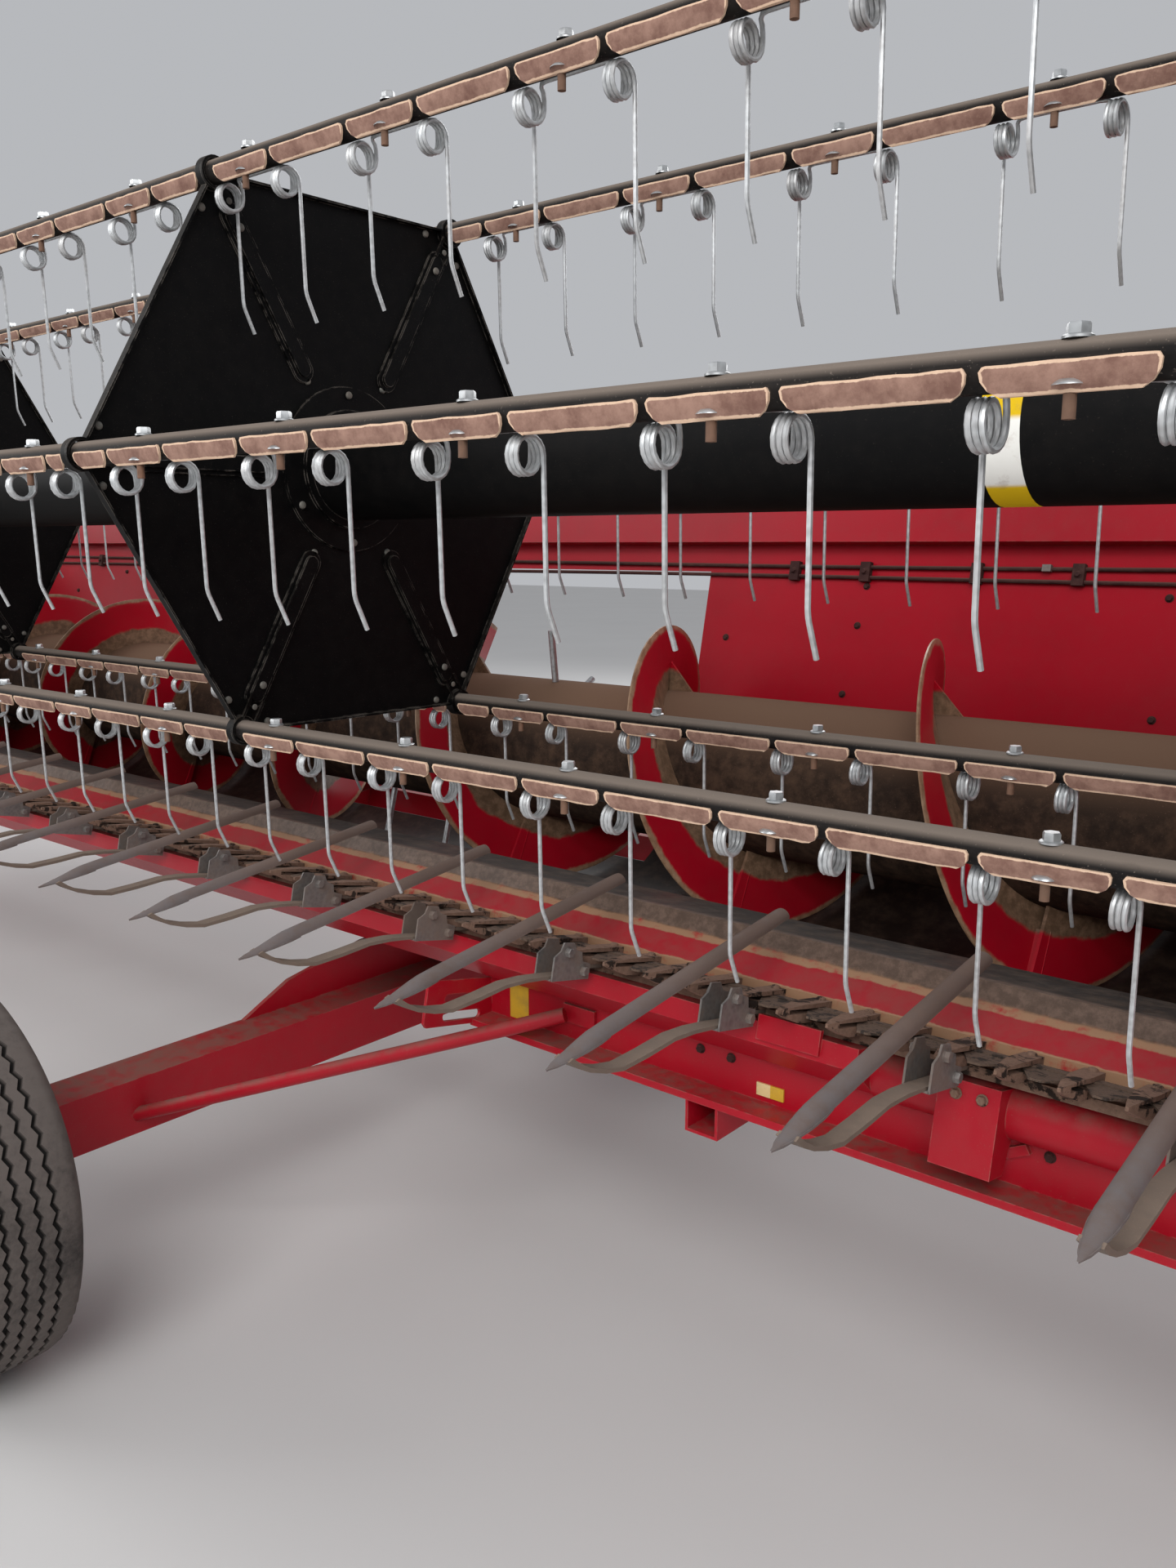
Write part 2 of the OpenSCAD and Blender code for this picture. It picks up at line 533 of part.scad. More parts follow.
slide_l = 260;
module reel_slides() at_reel() color(RED) {
  for (s = [-1, 1]) {
    difference() {
      block([s * arm_x - arm_w / 2 - 7, -slide_l / 2, -arm_h / 2 - 7], [s * arm_x + arm_w / 2 + 7, slide_l / 2, arm_h / 2 + 7]);
      block([s * arm_x - arm_w / 2 - slide_gap, -slide_l, -arm_h / 2 - slide_gap], [s * arm_x + arm_w / 2 + slide_gap, slide_l, arm_h / 2 + slide_gap]);
    }
  }
  // bearing at the left, control disc at the right
  difference() { shaft(55, -half - 6, -half + 20); shaft(30.5, -half - 7, -half + 21); }
  difference() {
    union() { shaft(disc_r, half - 33, half - 21, 0, -ring_e); shaft(55, half - 21, half + 6); }
    shaft(30.5, half - 34, half + 7);
  }
}
motor_p = [225, -180];
module reel_drive() at_reel() color(BLACK) {
  x0 = -arm_x + arm_w / 2 + 7.3;
  along_x(x0, x0 + 8) difference() {
    polygon([[-80, 50], [-80, -90], [motor_p[0] - 60, motor_p[1] - 50], [motor_p[0] + 50, motor_p[1] - 50], [motor_p[0] + 50, motor_p[1] + 50], [120, 50]]);
    circle(55.3);
  }
  shaft(45, x0 - 105, x0 + 1, motor_p[0], motor_p[1]);
}

module reel_arms() level() color(RED) {
  for (s = [-1, 1]) difference() {
    block([s * arm_x - arm_w / 2, reel_y - 420, reel_z - arm_h / 2], [s * arm_x + arm_w / 2, pivot_y + 60, reel_z + arm_h / 2]);
    block([s * arm_x - arm_w / 2 + 5, reel_y - 415, reel_z - arm_h / 2 + 5], [s * arm_x + arm_w / 2 - 5, pivot_y + 55, reel_z + arm_h / 2 - 5]);
  }
  shaft(30, -arm_x + arm_w / 2 - 1, arm_x - arm_w / 2 + 1, pivot_y, pivot_z);
  for (s = [-1, 1]) translate([s * arm_x, 0, 0]) {
    for (x = [-20.5, 12.5]) along_x(x, x + 8) polygon([[eye_p[0] - 50, reel_z - arm_h / 2], [eye_p[0] - 20, eye_p[1] - 22], [eye_p[0] + 20, eye_p[1] - 22], [eye_p[0] + 50, reel_z - arm_h / 2]]);
    shaft(pin_r, -15, 15, eye_p[0], eye_p[1]);
  }
}
base_p = [600, 1030];
eye_p = [375, reel_z - arm_h / 2 - 30];
cyl_l = norm(eye_p - base_p);
cyl_a = atan2(eye_p[1] - base_p[1], eye_p[0] - base_p[0]);
module at_cyl(s) level() translate([s * arm_x, base_p[0], base_p[1]]) rotate([cyl_a - 90, 0, 0]) children();
pin_r = 12;
module lift_barrel(s) at_cyl(s) color(BLACK) difference() {
  union() { translate([0, 0, 20]) cylinder(r = 28, h = 310); shaft(25, -12, 12); }
  translate([0, 0, 50]) cylinder(r = 16.3, h = 400);
  shaft(pin_r + 0.3, -13, 13);
}
module lift_rod(s) at_cyl(s) color(STEEL) difference() {
  union() {
    translate([0, 0, 70]) cylinder(r = 16, h = cyl_l - 104);
    block([-11, -14, cyl_l - 36], [11, 14, cyl_l]);
    translate([0, 0, cyl_l]) shaft(26, -12, 12);
  }
  translate([0, 0, cyl_l]) shaft(pin_r + 4, -13, 13);
}
module lift_barrel_left() lift_barrel(-1);
module lift_barrel_right() lift_barrel(1);
module lift_rod_left() lift_rod(-1);
module lift_rod_right() lift_rod(1);

// Trailer
main_y = 360;
main_z0 = axle_top;
main_z1 = axle_top + main_h;
main_x0 = -half + 245;
main_x1 = half - 45;
rail_y = -238;
rail_z = 528;
cross_xs = [0.583 * half, half - 345];
module main_beam() level() color(RED) {
  along_x(main_x0, main_x1) hollow_box(main_y - main_w / 2, main_z0, main_w, main_h, 6);
  for (x = [main_x0, main_x1 - 8]) along_x(x, x + 8) translate([main_y - main_w / 2 + 1, main_z0 + 1]) square([main_w - 2, main_h - 2]);
  for (x = support_xs) along_x(x - 6, x + 14)
    polygon([[wy(660, rib_z), wz(660, rib_z)], [wy(800, rib_z), wz(800, rib_z)], [main_y + main_w / 2, main_z1], [main_y - main_w / 2, main_z1]]);
}
module axle_beam() level() color(RED) {
  along_y0 = track_y - track / 2 + tyre_w / 2 + 15;
  along_y1 = track_y + track / 2 - tyre_w / 2 - 15;
  difference() {
    block([axle_x - 50, along_y0, axle_top - axle_h], [axle_x + 50, along_y1, axle_top]);
    block([axle_x - 43, along_y0 + 8, axle_top - axle_h + 7], [axle_x + 43, along_y1 - 8, axle_top - 7]);
  }
  translate([axle_x, track_y - track / 2 - 20, tyre_r]) rotate([-90, 0, 0]) cylinder(r = 25, h = tyre_w / 2 + 40);
  translate([axle_x, track_y + track / 2 + 20, tyre_r]) rotate([90, 0, 0]) cylinder(r = 25, h = tyre_w / 2 + 40);
  // web that rises to the main beam on the far side
  along_x(axle_x - 50, axle_x - 40) polygon([[-378, axle_top - 2], [main_y - main_w / 2 - 0.3, axle_top - 2], [main_y - main_w / 2 - 0.3, axle_top + 104], [-62, axle_top + 94], [-261, axle_top + 56]]);
  // brace with a flattened end on the front rail
  a = [axle_x + 44, track_y - track / 2 + 335, axle_top - 70];
  b = [rail_x0 + 196, rail_y - 20, rail_z + 46];
  rod(a, b, 13);
  block([b[0] - 12, rail_y - 10, b[2] - 16], [b[0] + 56, rail_y - 3.3, b[2] + 16]);
}
module cradles() level() color(RED) {
  for (s = [-1, 1]) {
    x0 = s > 0 ? rail_x0 : -half + 145;
    x1 = s > 0 ? half - 145 : -rail_x0;
    along_x(x0, x1) polygon([[rail_y - 52, rail_z - 12], [rail_y - 46, rail_z - 12], [rail_y - 46, rail_z - 6], [rail_y + 3, rail_z - 6],
      [rail_y + 3, 595.5], [rail_y - 3, 595.5], [rail_y - 3, rail_z], [rail_y - 52, rail_z]]);
    // cross tubes to the main beam
    for (x = cross_xs) difference() {
      block([s * x - 30, rail_y - 46, rail_z - 66], [s * x + 30, main_y - main_w / 2, rail_z - 5]);
      block([s * x - 25, rail_y - 47, rail_z - 61], [s * x + 25, main_y - main_w / 2 + 1, rail_z - 11]);
    }
    // slotted end plate that leans with the header
    translate([0, knife_y, knife_z]) rotate([-tilt, 0, 0]) along_x(s > 0 ? rail_x0 : -rail_x0 - 6, s > 0 ? rail_x0 + 6 : -rail_x0) difference() {
      polygon([[7, -180], [14, -187], [181, -187], [164, -106], [7, -106]]);
      for (z = [-170, -139]) translate([0, z]) capsule(58, 134, 8);
    }
  }
  // strut on the right rail
  bar([tube_x0 + 92, rail_y - 6, rail_z + 4], [tube_x0 + 197, rail_y - 6, rail_z + 58], 8, 14);
}
bar_z = axle_top + 50;
nose_x = -eye_x + 420;
jack_x = -half - 755;
module drawbar() level() color(RED) {
  difference() {
    union() {
      bar([main_x0 + 60, main_y, bar_z], [nose_x - 40, track_y + 22, bar_z], 70, 80);
      bar([-cross_xs[1], -200, bar_z + 30], [nose_x - 40, track_y - 22, bar_z], 70, 60);
      block([main_x0 - 10, main_y - 75, bar_z - 65], [main_x0 + 20, main_y + 75, bar_z + 65]);
      block([jack_x - 70, -50, bar_z + 28], [jack_x + 70, 220, bar_z + 48]);
    }
    block([main_x0 - 0.3, 0, 300], [main_x0 + 200, 500, 700]);
    block([-cross_xs[1] - 30.3, -300, 300], [-cross_xs[1] + 100, 0, 700]);
    translate([jack_x, track_y, 400]) cylinder(r = 32.3, h = 200);
  }
  difference() {
    union() {
      block([-eye_x + 60, track_y - 60, bar_z - 45], [nose_x, track_y + 60, bar_z + 45]);
      block([-eye_x, track_y - 30, bar_z - 20], [-eye_x + 80, track_y + 30, bar_z + 20]);
      translate([-eye_x, track_y, bar_z - 20]) cylinder(r = 60, h = 40);
    }
    translate([-eye_x, track_y, bar_z - 60]) cylinder(r = 26, h = 120);
  }
}
module jack_tube() level() color(STEEL) translate([jack_x, track_y, 0]) difference() {
  translate([0, 0, 240]) cylinder(r = 32, h = 480);
  translate([0, 0, 230]) cylinder(r = 26, h = 480);
}
module jack_leg() level() color(STEEL) translate([jack_x, track_y, 0]) {
  cylinder(r = 90, h = 10);
  translate([0, 0, 9]) cylinder(r = 25, h = 560);
}
module light_board() level() color(RED) {
  block([half + 135, -700, 480], [half + 155, 900, 600]);
  block([main_x1 + 0.3, main_y - 30, 440], [half + 136, main_y + 30, 500]);
}
module tail_lamps() level() color("red") for (y = [-620, 760]) block([half + 155, y - 60, 500], [half + 185, y + 60, 580]);

module tyre(y) level() translate([axle_x, y, tyre_r]) rotate([90, 0, 0]) color([0.1, 0.1, 0.1]) rotate_extrude($fn = 96)
  polygon([[195, -60], [205, -72], [225, -88], [260, -tyre_w / 2], [295, -tyre_w / 2 + 2], [tyre_r - 10, -80], [tyre_r, -66], [tyre_r, 66], [tyre_r - 10, 80],
    [295, tyre_w / 2 - 2], [260, tyre_w / 2], [225, 88], [205, 72], [195, 60]]);
module rim(y, s) level() translate([axle_x, y, tyre_r]) rotate([s * 90, 0, 0]) color("lightgray") difference() {
  union() {
    rotate_extrude($fn = 96) polygon([[186, -76], [204, -76], [204, -71], [194, -59], [194, 59], [204, 71], [204, 76], [186, 76], [180, 30], [100, 20], [70, 40], [0, 40], [0, 30], [60, 30], [95, 8], [175, 20], [182, -60]]);
    translate([0, 0, -60]) cylinder(r = 55, h = 95);
  }
  translate([0, 0, -70]) cylinder(r = 25.05, h = 92);
}
module tyre_front() tyre(track_y - track / 2);
module tyre_rear() tyre(track_y + track / 2);
module rim_front() rim(track_y - track / 2, 1);
module rim_rear() rim(track_y + track / 2, -1);

back_frame();
back_sheets();
trough();
floor_ribs();
front_beam();
end_walls();
dividers();
cutterbar();
crop_lifters();
pipes();
drive_cover();
drive_shaft();
knife();
auger_tube();
auger_flights();
auger_fingers();
reel_arms();
reel_slides();
reel_drive();
reel_tube();
reel_spiders();
bat_1();
bat_2();
bat_3();
bat_4();
bat_5();
bat_6();
control_ring();
lift_barrel_left();
lift_barrel_right();
lift_rod_left();
lift_rod_right();
main_beam();
axle_beam();
cradles();
drawbar();
jack_tube();
jack_leg();
light_board();
tail_lamps();
tyre_front();
tyre_rear();
rim_front();
rim_rear();
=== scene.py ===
import json
import math
import random
import bpy
from mathutils import Matrix, Vector

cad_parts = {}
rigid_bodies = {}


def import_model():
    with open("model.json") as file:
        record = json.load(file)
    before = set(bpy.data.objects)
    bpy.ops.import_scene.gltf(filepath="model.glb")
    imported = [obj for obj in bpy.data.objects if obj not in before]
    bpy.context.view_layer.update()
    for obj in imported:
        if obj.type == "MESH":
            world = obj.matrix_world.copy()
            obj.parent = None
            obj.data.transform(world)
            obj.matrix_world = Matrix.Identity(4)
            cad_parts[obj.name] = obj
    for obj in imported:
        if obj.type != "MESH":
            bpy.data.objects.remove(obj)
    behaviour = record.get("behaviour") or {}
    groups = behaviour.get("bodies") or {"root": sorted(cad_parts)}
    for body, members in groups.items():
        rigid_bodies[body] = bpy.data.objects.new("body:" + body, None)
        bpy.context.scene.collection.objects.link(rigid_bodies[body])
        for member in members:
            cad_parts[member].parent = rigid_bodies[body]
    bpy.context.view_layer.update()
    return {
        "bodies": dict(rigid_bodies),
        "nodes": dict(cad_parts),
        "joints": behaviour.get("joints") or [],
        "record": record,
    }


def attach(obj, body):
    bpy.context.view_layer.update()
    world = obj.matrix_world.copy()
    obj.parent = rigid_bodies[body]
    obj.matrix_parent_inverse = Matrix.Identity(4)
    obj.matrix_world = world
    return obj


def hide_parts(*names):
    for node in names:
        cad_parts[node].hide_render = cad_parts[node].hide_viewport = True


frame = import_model()
NODES = frame["nodes"]

# Frames as in the part's source: the trailer's level one, the leaning header's, the reel's and the auger's.
# Matrices are in metres; the shapes below are in millimetres.
TILT = math.radians(12)
HALF = 2745.0
LEVEL = Matrix.Translation((0.715, -0.093, 0))
HEAD = LEVEL @ Matrix.Translation((0, -0.375, 0.730)) @ Matrix.Rotation(-TILT, 4, "X")
REEL = LEVEL @ Matrix.Translation((0, -0.345, 1.480))
AUGER = HEAD @ Matrix.Translation((0.252, 0.751, 0.314))

# The camera, with no roll; its focal length in pixels belongs to a frame of this height
SENSOR = 36
FOCAL_PX, FRAME_PX = 1521, 1920
CAMERA_AT = (3.3276, -1.845, 1.3538)
CAMERA_RIGHT = (0.7641, 0.6451, 0)
CAMERA_AHEAD = (-0.6335, 0.7504, -0.1887)


def add_to_scene(name, data):
    ob = bpy.data.objects.new(name, data)
    bpy.context.scene.collection.objects.link(ob)
    return ob


def camera():
    cam = bpy.data.cameras.new("camera")
    cam.sensor_width = SENSOR
    cam.lens = FOCAL_PX / FRAME_PX * SENSOR
    ob = add_to_scene("camera", cam)
    right = Vector(CAMERA_RIGHT).normalized()
    ahead = Vector(CAMERA_AHEAD).normalized()
    up = right.cross(ahead).normalized()
    turn = Matrix((right, up, -ahead)).transposed().to_4x4()
    ob.matrix_world = Matrix.Translation(CAMERA_AT) @ turn
    bpy.context.scene.camera = ob


camera()


# Materials
COAT_ROUGH = 0.2


def rgba(value):
    """A colour of three numbers gets its fourth; sockets pass as they are."""
    return (*value, 1) if isinstance(value, tuple) and len(value) == 3 else value


class Tree:
    """Short calls for a material's nodes."""

    def __init__(self, name):
        self.mat = bpy.data.materials.new(name)
        self.mat.use_nodes = True
        self.nt = self.mat.node_tree
        self.bsdf = next(n for n in self.nt.nodes if n.type == "BSDF_PRINCIPLED")
        self.geo = self.nt.nodes.new("ShaderNodeTexCoord")

    def node(self, kind, **kw):
        n = self.nt.nodes.new("ShaderNode" + kind)
        for k, v in kw.items():
            setattr(n, k, v)
        return n

    def put(self, socket, value):
        if hasattr(value, "is_output"):
            self.nt.links.new(value, socket)
        else:
            socket.default_value = value

    def noise(self, scale, detail=4, rough=0.55, distort=0.0):
        n = self.node("TexNoise")
        self.put(n.inputs["Scale"], scale)
        self.put(n.inputs["Detail"], detail)
        self.put(n.inputs["Roughness"], rough)
        self.put(n.inputs["Distortion"], distort)
        self.put(n.inputs["Vector"], self.geo.outputs["Object"])
        return n.outputs["Fac"]

    def step(self, value, lo, hi):
        """0 below lo, 1 above hi, with a smooth rise between them."""
        n = self.node("MapRange", interpolation_type="SMOOTHSTEP")
        self.put(n.inputs["Value"], value)
        n.inputs["From Min"].default_value = lo
        n.inputs["From Max"].default_value = hi
        return n.outputs["Result"]

    def math(self, op, a, b=0.0, c=0.0):
        n = self.node("Math", operation=op)
        self.put(n.inputs[0], a)
        self.put(n.inputs[1], b)
        if op == "MULTIPLY_ADD":
            self.put(n.inputs[2], c)
        return n.outputs[0]

    def mul(self, a, b):
        return self.math("MULTIPLY", a, b)

    def inverse(self, value):
        return self.math("SUBTRACT", 1.0, value)

    def mix(self, fac, a, b):
        n = self.node("Mix", data_type="RGBA")
        self.put(n.inputs["Factor"], fac)
        self.put(n.inputs["A"], rgba(a))
        self.put(n.inputs["B"], rgba(b))
        return n.outputs["Result"]

    def upness(self):
        n = self.node("SeparateXYZ")
        self.put(n.inputs[0], self.geo.outputs["Normal"])
        return n.outputs["Z"]

    def along(self, frame, axis, source="Object"):
        """The place along a frame's axis in metres, or with source Normal how far the surface faces that way."""
        d = frame.to_3x3().col[axis].normalized()
        n = self.node("VectorMath", operation="DOT_PRODUCT")
        self.put(n.inputs[0], self.geo.outputs[source])
        n.inputs[1].default_value = d
        if source == "Normal":
            return n.outputs["Value"]
        return self.math("SUBTRACT", n.outputs["Value"], frame.translation.dot(d))

    def radius(self, frame):
        """The distance from a frame's X axis."""
        sub = self.node("VectorMath", operation="SUBTRACT")
        self.put(sub.inputs[0], self.geo.outputs["Object"])
        sub.inputs[1].default_value = frame.translation
        flat = self.node("VectorMath", operation="MULTIPLY")
        self.put(flat.inputs[0], sub.outputs[0])
        flat.inputs[1].default_value = (0, 1, 1)
        n = self.node("VectorMath", operation="LENGTH")
        self.put(n.inputs[0], flat.outputs[0])
        return n.outputs["Value"]

    def mark(self):
        """The edge value that the mesh carries."""
        return self.node("Attribute", attribute_name="edge").outputs["Fac"]

    def edges(self, radius=0.004):
        """1 on sharp edges, 0 on flats."""
        bev = self.node("Bevel", samples=4)
        bev.inputs["Radius"].default_value = radius
        g = self.node("NewGeometry")
        dot = self.node("VectorMath", operation="DOT_PRODUCT")
        self.put(dot.inputs[0], bev.outputs["Normal"])
        self.put(dot.inputs[1], g.outputs["Normal"])
        return self.step(self.inverse(dot.outputs["Value"]), 0.02, 0.2)

    def bump(self, height, strength=0.2, dist=0.001):
        n = self.node("Bump")
        n.inputs["Strength"].default_value = strength
        n.inputs["Distance"].default_value = dist
        self.put(n.inputs["Height"], height)
        self.put(self.bsdf.inputs["Normal"], n.outputs["Normal"])

    def done(self, color, rough, metal=0.0, spec=None, coat=0.0):
        b = self.bsdf.inputs
        self.put(b["Base Color"], rgba(color))
        self.put(b["Roughness"], rough)
        self.put(b["Metallic"], metal)
        if spec is not None:
            b["Specular IOR Level"].default_value = spec
        if coat:
            b["Coat Weight"].default_value = coat
            b["Coat Roughness"].default_value = COAT_ROUGH
        return self.mat


def shade(color, k):
    return tuple(c * k for c in color)


DUST = (0.150, 0.105, 0.078)
TAN = (0.50, 0.32, 0.21)
RED = (0.41, 0.003, 0.015)
BLACK = (0.0016, 0.0016, 0.0018)


def painted(name, color, dust=0.5, wear=0.0, rough=0.38, worn=(0.30, 0.24, 0.19), film=0.25,
            dirt=DUST, spec=0.5, bands=None, cover=0.35):
    """Sprayed paint with dust that settles on what faces up, a thin uneven film and worn edges, whose lighter
    colour is also a painted highlight on the spiders' ridges.

    dust, wear and film say how much of each; settled dust starts where the patches' noise passes cover; bands
    changes the colour by its place.
    """
    t = Tree(name)
    broad = t.noise(2.3, 6, 0.6)
    fine = t.noise(38, 5, 0.65)
    grain = t.noise(240, 3, 0.6)
    tone = t.mix(t.mul(t.step(broad, 0.35, 0.7), 0.5), color, shade(color, 0.66))
    up = t.step(t.upness(), 0.15, 0.95)
    patch = t.math("MULTIPLY_ADD", fine, 0.7, t.mul(broad, 0.5))
    settled = t.mul(t.mul(up, t.step(patch, cover, cover + 0.40)), dust)
    haze = t.mul(t.step(patch, 0.45, 0.85), film)
    amount = t.math("MAXIMUM", settled, haze)
    col = t.mix(amount, tone, dirt)
    specks = t.mul(t.step(t.noise(420, 2, 0.5), 0.66, 0.74), 0.35 * min(dust, 1.0))
    col = t.mix(specks, col, shade(dirt, 1.5))
    if wear:
        # Worn edges: real wear, and on the spiders also a painted ridge highlight
        rub_and_sheen = t.mul(t.edges(0.003), t.step(fine, 0.42, 0.58))
        col = t.mix(t.mul(rub_and_sheen, wear), col, worn)
    if bands:
        col = bands(t, col, fine)
    t.bump(t.math("MULTIPLY_ADD", grain, 0.3, fine), 0.12, 0.0006)
    return t.done(col, t.math("MULTIPLY_ADD", amount, 0.45, rough), spec=spec)


RUST = (0.13, 0.052, 0.025)


def metal(name, color, rough=0.35, dust=0.3, rust=0.0, metallic=0.85, dirt=DUST):
    """Plated or bare steel with a mottled surface, dirt and rust."""
    t = Tree(name)
    fine = t.noise(60, 5, 0.6)
    broad = t.noise(7, 4, 0.6)
    spang = t.node("TexVoronoi")
    spang.inputs["Scale"].default_value = 140
    t.put(spang.inputs["Vector"], t.geo.outputs["Object"])
    tone = t.math("MULTIPLY_ADD", fine, 0.5, t.mul(spang.outputs["Distance"], 0.6))
    col = t.mix(t.step(tone, 0.2, 0.8), shade(color, 0.72), color)
    if rust:
        eaten = t.step(t.math("MULTIPLY_ADD", fine, 0.4, t.mul(broad, 0.7)), 0.5, 0.68)
        col = t.mix(t.mul(eaten, rust), col, RUST)
    dirty = t.mul(t.step(t.math("MULTIPLY_ADD", fine, 0.5, broad), 0.55, 0.95), dust)
    col = t.mix(dirty, col, dirt)
    t.bump(fine, 0.1, 0.0004)
    bare = t.mul(t.inverse(dirty), metallic)
    return t.done(col, t.math("MULTIPLY_ADD", dirty, 0.4, rough), bare)


# Where the trough's bands start, in metres behind the knife line: each pair is a soft step's two ends
STRIP_FRONT, STRIP_CLEAN, STRIP_BACK = (0.139, 0.1395), (0.1415, 0.1435), (0.176, 0.1785)
LIP_FROM, FLOOR_FROM = (0.186, 0.191), (0.207, 0.222)
REAR_UP, REAR_FROM = (0.16, 0.24), (0.9, 0.95)


def trough_bands(t, col, fine):
    """Strip in front with worn beige borders, the dusty lip, a near-black floor behind it, and the red rear edge.
    """
    y = t.along(HEAD, 1)
    rag = t.math("MULTIPLY_ADD", t.noise(16, 5, 0.7), 0.010, t.math("MULTIPLY_ADD", fine, 0.004, -0.007))
    ragged_y = t.math("ADD", y, rag)
    low = t.mul(t.step(y, *STRIP_FRONT), t.inverse(t.step(ragged_y, *STRIP_CLEAN)))
    high = t.step(ragged_y, *STRIP_BACK)
    border = t.math("MAXIMUM", low, high)
    col = t.mix(t.mul(border, t.step(fine, 0.2, 0.5)), col, (0.36, 0.20, 0.115))
    lip = t.step(ragged_y, *LIP_FROM)
    brown = t.mix(t.step(t.noise(70, 5, 0.7), 0.35, 0.7), (0.095, 0.060, 0.043), (0.165, 0.106, 0.078))
    col = t.mix(lip, col, brown)
    # The floor behind the lip turns near-black
    floor = t.step(ragged_y, *FLOOR_FROM)
    dark = t.mix(t.step(t.noise(24, 6, 0.7), 0.4, 0.7), (0.020, 0.014, 0.011), (0.062, 0.042, 0.030))
    col = t.mix(floor, col, dark)
    back = t.step(t.along(HEAD, 2), *REAR_UP)
    far = t.mul(back, t.step(y, *REAR_FROM))
    return t.mix(far, col, t.mix(t.step(fine, 0.3, 0.7), shade(RED, 0.55), shade(RED, 0.9)))


# The tape's ends along X, its yellow, and the white of a painted flash reflection on its front
TAPE_FROM, TAPE_TO = (2.0425, 2.043), (2.0875, 2.088)
YELLOW_TAPE, TAPE_GLARE_WHITE = (0.72, 0.47, 0.01), (0.86, 0.85, 0.80)


def tape_with_glare(t, col, fine):
    """A yellow reflective tape round the reel's tube, with a painted white flash reflection on the side that faces
    forward and a little down.
    """
    x = t.along(LEVEL, 0)
    on = t.mul(t.step(x, *TAPE_FROM), t.inverse(t.step(x, *TAPE_TO)))
    # Painted reflection: the tape turns white where the surface faces forward and a little down
    front = t.math("SUBTRACT", t.mul(t.along(LEVEL, 1, "Normal"), -0.925), t.mul(t.upness(), 0.379))
    tape_and_glare = t.mix(t.step(front, 0.875, 0.915), YELLOW_TAPE, TAPE_GLARE_WHITE)
    return t.mix(on, col, t.mix(t.mul(t.step(fine, 0.55, 0.7), 0.3), tape_and_glare, shade(TAN, 0.6)))


# Radii of the flights' bands in metres, each a soft step's two ends
RIM_FROM, DUST_TO, SOIL_TO = (0.3015, 0.3095), (0.204, 0.214), (0.262, 0.270)


def flight_bands(t, col, fine):
    """A thin worn outer edge, a dust band at the tube and soil patches."""
    r = t.radius(AUGER)
    n = t.noise(9, 5, 0.65)
    rag = t.math("MULTIPLY_ADD", n, 0.050, -0.025)
    small_rag = t.math("MULTIPLY_ADD", fine, 0.006, -0.003)
    rim = t.step(t.math("ADD", r, t.math("MULTIPLY_ADD", n, 0.026, small_rag)), *RIM_FROM)
    col = t.mix(rim, col, t.mix(t.step(fine, 0.3, 0.7), (0.30, 0.16, 0.09), (0.50, 0.32, 0.20)))
    inner = t.inverse(t.step(t.math("ADD", r, rag), *DUST_TO))
    brown = t.mix(t.step(t.noise(55, 5, 0.7), 0.35, 0.7), (0.17, 0.10, 0.060), (0.33, 0.20, 0.125))
    col = t.mix(inner, col, brown)
    patches = t.step(t.noise(5.3, 6, 0.7, distort=0.6), 0.68, 0.73)
    dark = t.mul(patches, t.inverse(t.step(t.math("ADD", r, rag), *SOIL_TO)))
    return t.mix(dark, col, (0.013, 0.009, 0.008))


def lifter_bare_and_sheen(t, col, fine):
    """Bare steel towards the nose, its bluish grey partly a painted highlight."""
    ahead = t.mul(t.along(HEAD, 1), -1.0)
    # Bare steel and a painted bluish highlight, stronger towards the nose
    bare = t.mul(t.step(ahead, 0.05, 0.30), t.step(fine, 0.10, 0.75))
    return t.mix(t.mul(bare, 0.65), col, (0.150, 0.148, 0.158))


def flap_face(name):
    """Rusty, dusty plate with an irregular bright border."""
    t = Tree(name)
    broad = t.noise(26, 6, 0.7)
    fine = t.noise(160, 5, 0.7)
    face = t.mix(t.step(broad, 0.3, 0.7), (0.190, 0.098, 0.075), (0.390, 0.235, 0.180))
    face = t.mix(t.mul(t.step(fine, 0.55, 0.75), 0.5), face, (0.36, 0.22, 0.16))
    rag = t.math("MULTIPLY_ADD", fine, 0.5, t.math("MULTIPLY_ADD", broad, 0.7, -0.55))
    border = t.step(t.math("ADD", t.mark(), rag), 0.46, 0.62)
    col = t.mix(border, face, t.mix(fine, (0.64, 0.42, 0.29), (0.82, 0.60, 0.44)))
    t.bump(t.math("ADD", fine, broad), 0.35, 0.0008)
    return t.done(col, 0.85, spec=0.25)


def soil(name, dark, pale, scale=30, spot=0.6):
    """Caked dust with dark bare patches where the noise passes spot."""
    t = Tree(name)
    broad = t.noise(scale, 6, 0.7, distort=0.4)
    fine = t.noise(scale * 5, 5, 0.7)
    col = t.mix(t.step(fine, 0.3, 0.7), shade(pale, 0.72), pale)
    col = t.mix(t.step(broad, spot - 0.03, spot + 0.04), col, dark)
    t.bump(t.math("MULTIPLY_ADD", fine, 0.5, broad), 0.5, 0.0016)
    return t.done(col, 0.9, spec=0.2)


def rubber(name):
    """Dusty tyre rubber, darker in the marked grooves."""
    t = Tree(name)
    broad = t.noise(5, 5, 0.6)
    fine = t.noise(90, 5, 0.7)
    amount = t.step(t.math("MULTIPLY_ADD", fine, 0.6, broad), 0.35, 0.95)
    col = t.mix(amount, (0.030, 0.027, 0.026), (0.125, 0.105, 0.095))
    col = t.mix(t.mark(), col, (0.018, 0.016, 0.015))
    t.bump(fine, 0.25, 0.0006)
    return t.done(col, 0.85, spec=0.25)


